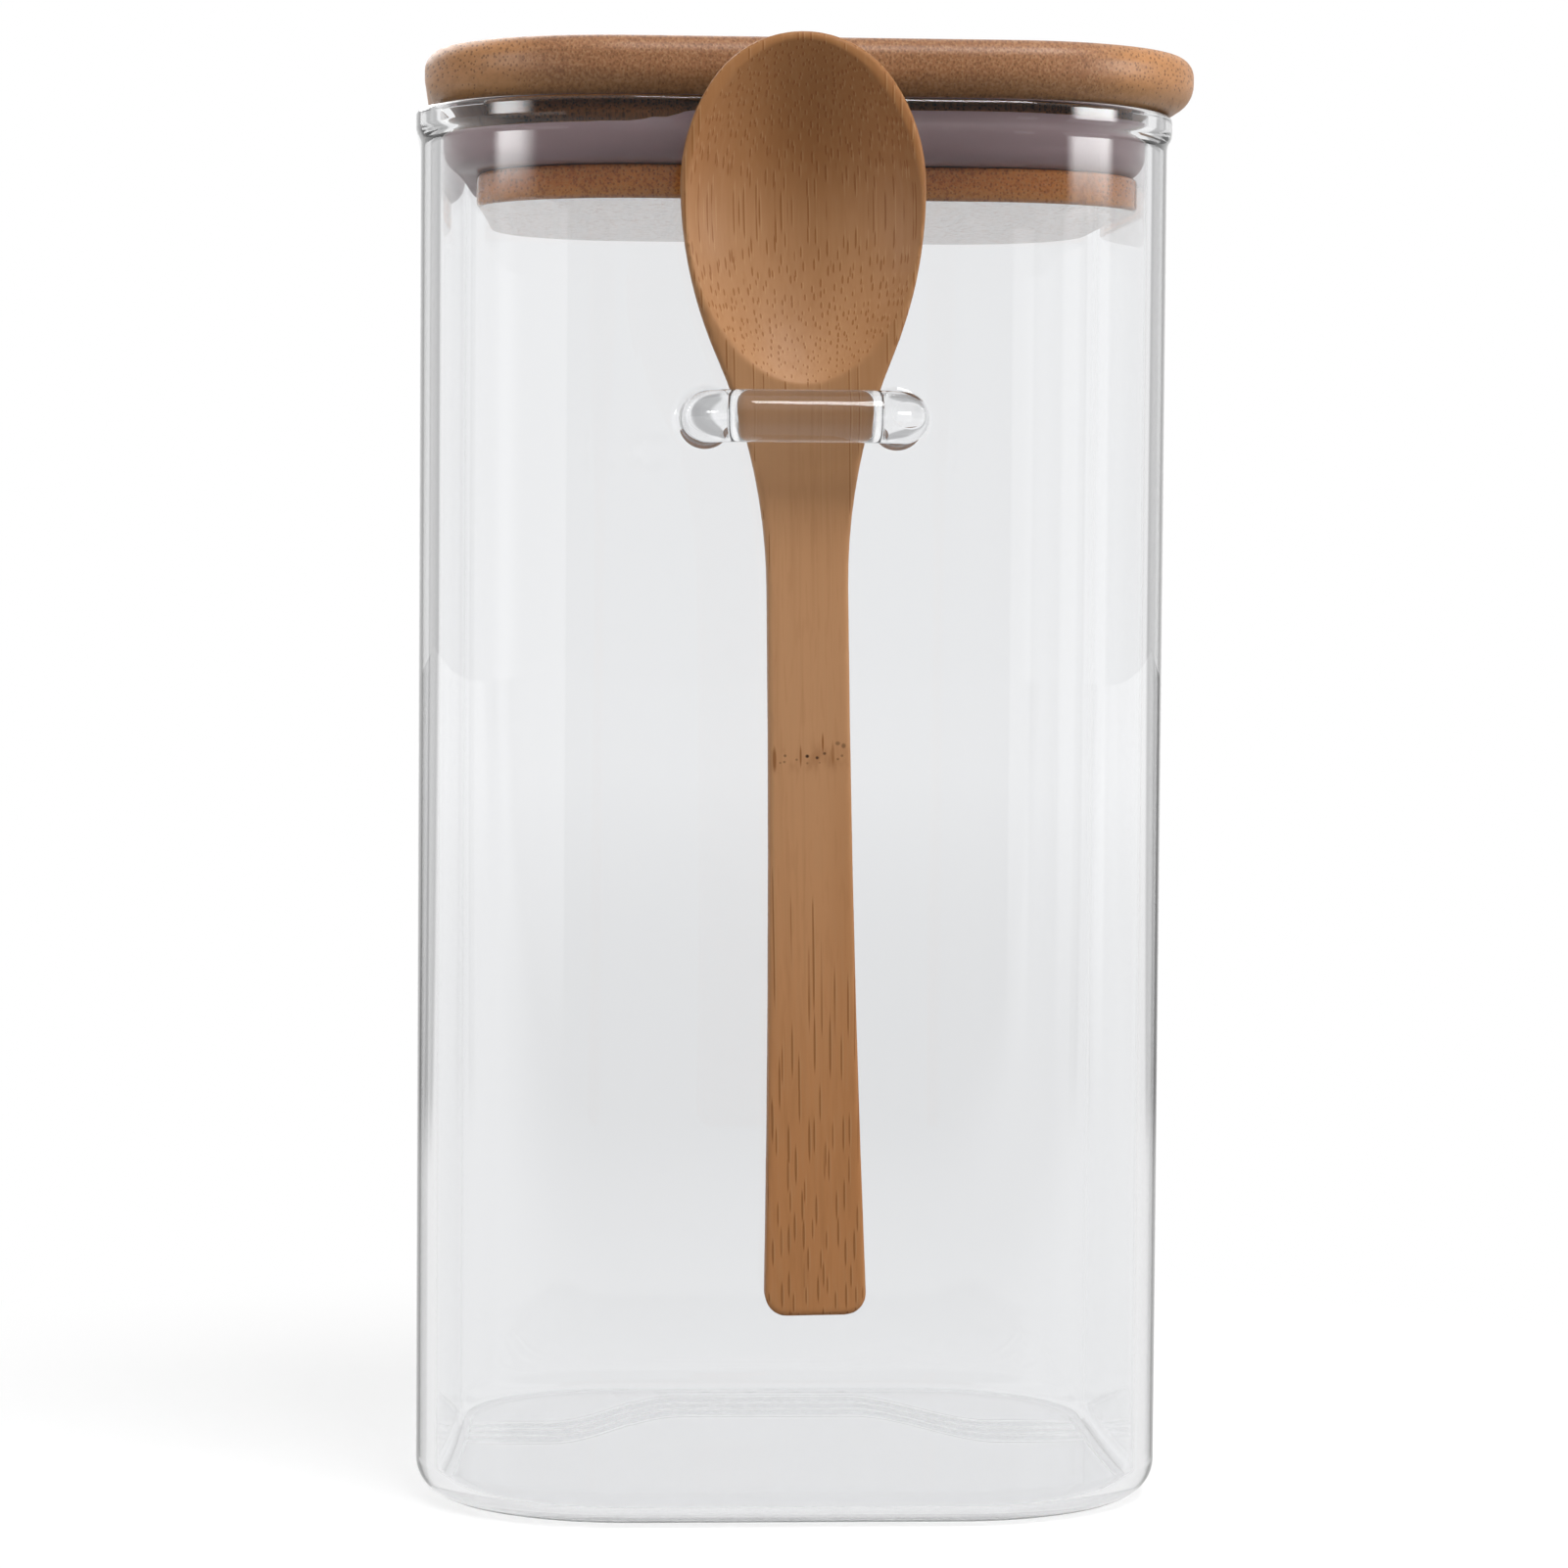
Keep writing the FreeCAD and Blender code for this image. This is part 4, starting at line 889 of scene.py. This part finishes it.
def makeFloor(look):
    clearSelection()
    bpy.ops.mesh.primitive_plane_add(size=look["size"], location=(0, 0, look["height"]))
    floor = bpy.context.object
    floor.name = floor.data.name = "paleFloor"
    bpy.ops.object.transform_apply(location=True, rotation=True, scale=True)
    material, tree, shader = newMaterial("paleFloor")
    place = objectPlace(tree)
    length = tree.nodes.new("ShaderNodeVectorMath")
    length.operation = "LENGTH"
    tree.links.new(place, length.inputs[0])
    outward = length.outputs["Value"]
    split = tree.nodes.new("ShaderNodeSeparateXYZ")
    tree.links.new(place, split.inputs[0])
    rays = tree.nodes.new("ShaderNodeLightPath")
    direct = rays.outputs["Is Camera Ray"]
    inGlass = calc(tree, "MAXIMUM", rays.outputs["Is Glossy Ray"], rays.outputs["Is Transmission Ray"])
    inGlass = times(tree, inGlass, calc(tree, "LESS_THAN", rays.outputs["Diffuse Depth"], studio["bounced"]))
    level = floorLevel(tree, look, split.outputs[0], split.outputs[1], outward, rays)
    shader.inputs["Base Color"].default_value = (*look["pale"], 1)
    shader.inputs["Roughness"].default_value = look["roughness"]
    shader.inputs["Specular IOR Level"].default_value = 0.0
    shader.inputs["Emission Color"].default_value = (1, 1, 1, 1)
    feed(tree, times(tree, direct, look["glow"]), shader.inputs["Emission Strength"])
    glow = tree.nodes.new("ShaderNodeEmission")
    feed(tree, choose(tree, direct, 1.0, level), glow.inputs["Strength"])
    mix = tree.nodes.new("ShaderNodeMixShader")
    farOut = times(tree, reach(tree, outward, *look["shadowReach"]), direct)
    feed(tree, calc(tree, "MAXIMUM", inGlass, farOut), mix.inputs[0])
    tree.links.new(shader.outputs[0], mix.inputs[1])
    tree.links.new(glow.outputs[0], mix.inputs[2])
    tree.links.new(mix.outputs[0], tree.nodes["Material Output"].inputs["Surface"])
    floor.data.materials.append(material)


makeFloor(floorLook)


def addLamp(name, place, aim, width, height, power):
    clearSelection()
    bpy.ops.object.light_add(type="AREA", location=place)
    lamp = bpy.context.object
    lamp.name = lamp.data.name = name
    lamp.data.shape = "RECTANGLE"
    lamp.data.size, lamp.data.size_y = width, height
    lamp.data.energy = power
    lamp.rotation_euler = (Vector(aim) - Vector(place)).to_track_quat("-Z", "Y").to_euler()
    lamp.visible_camera = False
    lamp.visible_transmission = False
    return lamp


def softenLamp(lamp, below, starting, ending):
    # parts of the height and the width over which the lamp dies away
    lamp.data.use_nodes = True
    tree = lamp.data.node_tree
    split = tree.nodes.new("ShaderNodeSeparateXYZ")
    tree.links.new(tree.nodes.new("ShaderNodeNewGeometry").outputs["Parametric"], split.inputs[0])
    across, up = split.outputs[0], split.outputs[1]
    sides = times(tree, reach(tree, across, 0.0, starting), reach(tree, across, 1.0, 1.0 - ending))
    level = times(tree, sides, reach(tree, up, 0.0, below))
    feed(tree, level, tree.nodes["Emission"].inputs["Strength"])


def makeLamps(look):
    for lamp in look["lamps"]:
        start, end = Vector((*lamp["from"], 0)), Vector((*lamp["to"], 0))
        tall = lamp["high"] - lamp["low"]
        place = (start + end) / 2 + Vector((0, 0, (lamp["low"] + lamp["high"]) / 2))
        inward = (end - start).cross(Vector((0, 0, 1)))
        if inward.dot(place) > 0:
            inward.negate()
        made = addLamp(lamp["name"], place, place + inward, (end - start).length, tall, lamp["power"])
        softenLamp(made, lamp["fade"] / tall, *lamp["soft"])
    for name in ("top", "back"):
        lamp = look[name]
        addLamp(name + "Softbox", lamp["place"], lamp["aim"], *lamp["size"], lamp["power"])


makeLamps(studio)


def makeWorld(look):
    world = bpy.data.worlds.new("studioWorld")
    bpy.context.scene.world = world
    world.use_nodes = True
    tree = world.node_tree
    background = tree.nodes["Background"]
    rays = tree.nodes.new("ShaderNodeLightPath")
    toward = tree.nodes.new("ShaderNodeTexCoord").outputs["Generated"]
    split = tree.nodes.new("ShaderNodeSeparateXYZ")
    tree.links.new(toward, split.inputs[0])
    x, y, z = split.outputs
    turnedBack, alongEdge = edgeRays(tree, rays, look)
    inGap = times(tree, studioGap(tree, x, y, look), alongEdge)
    through = reach(tree, inGap, 0.0, 1.0, look["behind"], look["gap"])
    inFront = times(tree, reach(tree, y, *look["frontReach"]), turnedBack)
    through = choose(tree, inFront, look["dimFront"], through)
    mirrored = calc(tree, "MAXIMUM", reach(tree, y, *look["mirrorBehind"], look["front"], 1.0),
                    reach(tree, z, *look["mirrorAbove"], look["front"], look["above"]))
    level = choose(tree, rays.outputs["Is Glossy Ray"], mirrored, look["ambient"])
    # light that falls through the glass on what is inside
    sideways = calc(tree, "MAXIMUM", reach(tree, x, *look["rightReach"], *look["insideRight"]),
                    reach(tree, x, *look["leftReach"], *look["insideLeft"]))
    inside = times(tree, reach(tree, y, *look["insideReach"], *look["inside"]), sideways)
    fromMatt = calc(tree, "GREATER_THAN", rays.outputs["Diffuse Depth"], look["bounced"])
    through = choose(tree, fromMatt, inside, through)
    level = choose(tree, rays.outputs["Is Transmission Ray"], through, level)
    level = choose(tree, rays.outputs["Is Camera Ray"], 1.0, level)
    background.inputs["Color"].default_value = (1, 1, 1, 1)
    tree.links.new(level, background.inputs["Strength"])


makeWorld(studio)


# Camera at the photograph's angle
cameraPlace = {
    "place": (-0.0379, -0.6436, 0.1201), "turn": -3.41, "pitch": 87.314, "roll": 0.419,
    "focal": 4977.0, "picture": 1601.0, "sensor": 36.0, "nearest": 0.01,
}


def makeCamera(look):
    clearSelection()
    bpy.ops.object.camera_add()
    camera = bpy.context.object
    camera.name = camera.data.name = "photoCamera"
    camera.data.sensor_width = look["sensor"]
    camera.data.lens = look["focal"] / look["picture"] * look["sensor"]
    camera.data.clip_start = look["nearest"]
    turn, pitch, roll = (Matrix.Rotation(math.radians(look[name]), 4, axis)
                         for name, axis in (("turn", "Z"), ("pitch", "X"), ("roll", "Z")))
    camera.matrix_world = Matrix.Translation(look["place"]) @ turn @ pitch @ roll
    bpy.context.scene.camera = camera


makeCamera(cameraPlace)
bpy.context.scene.view_settings.view_transform = "Standard"
print("stage, lamps and camera set")
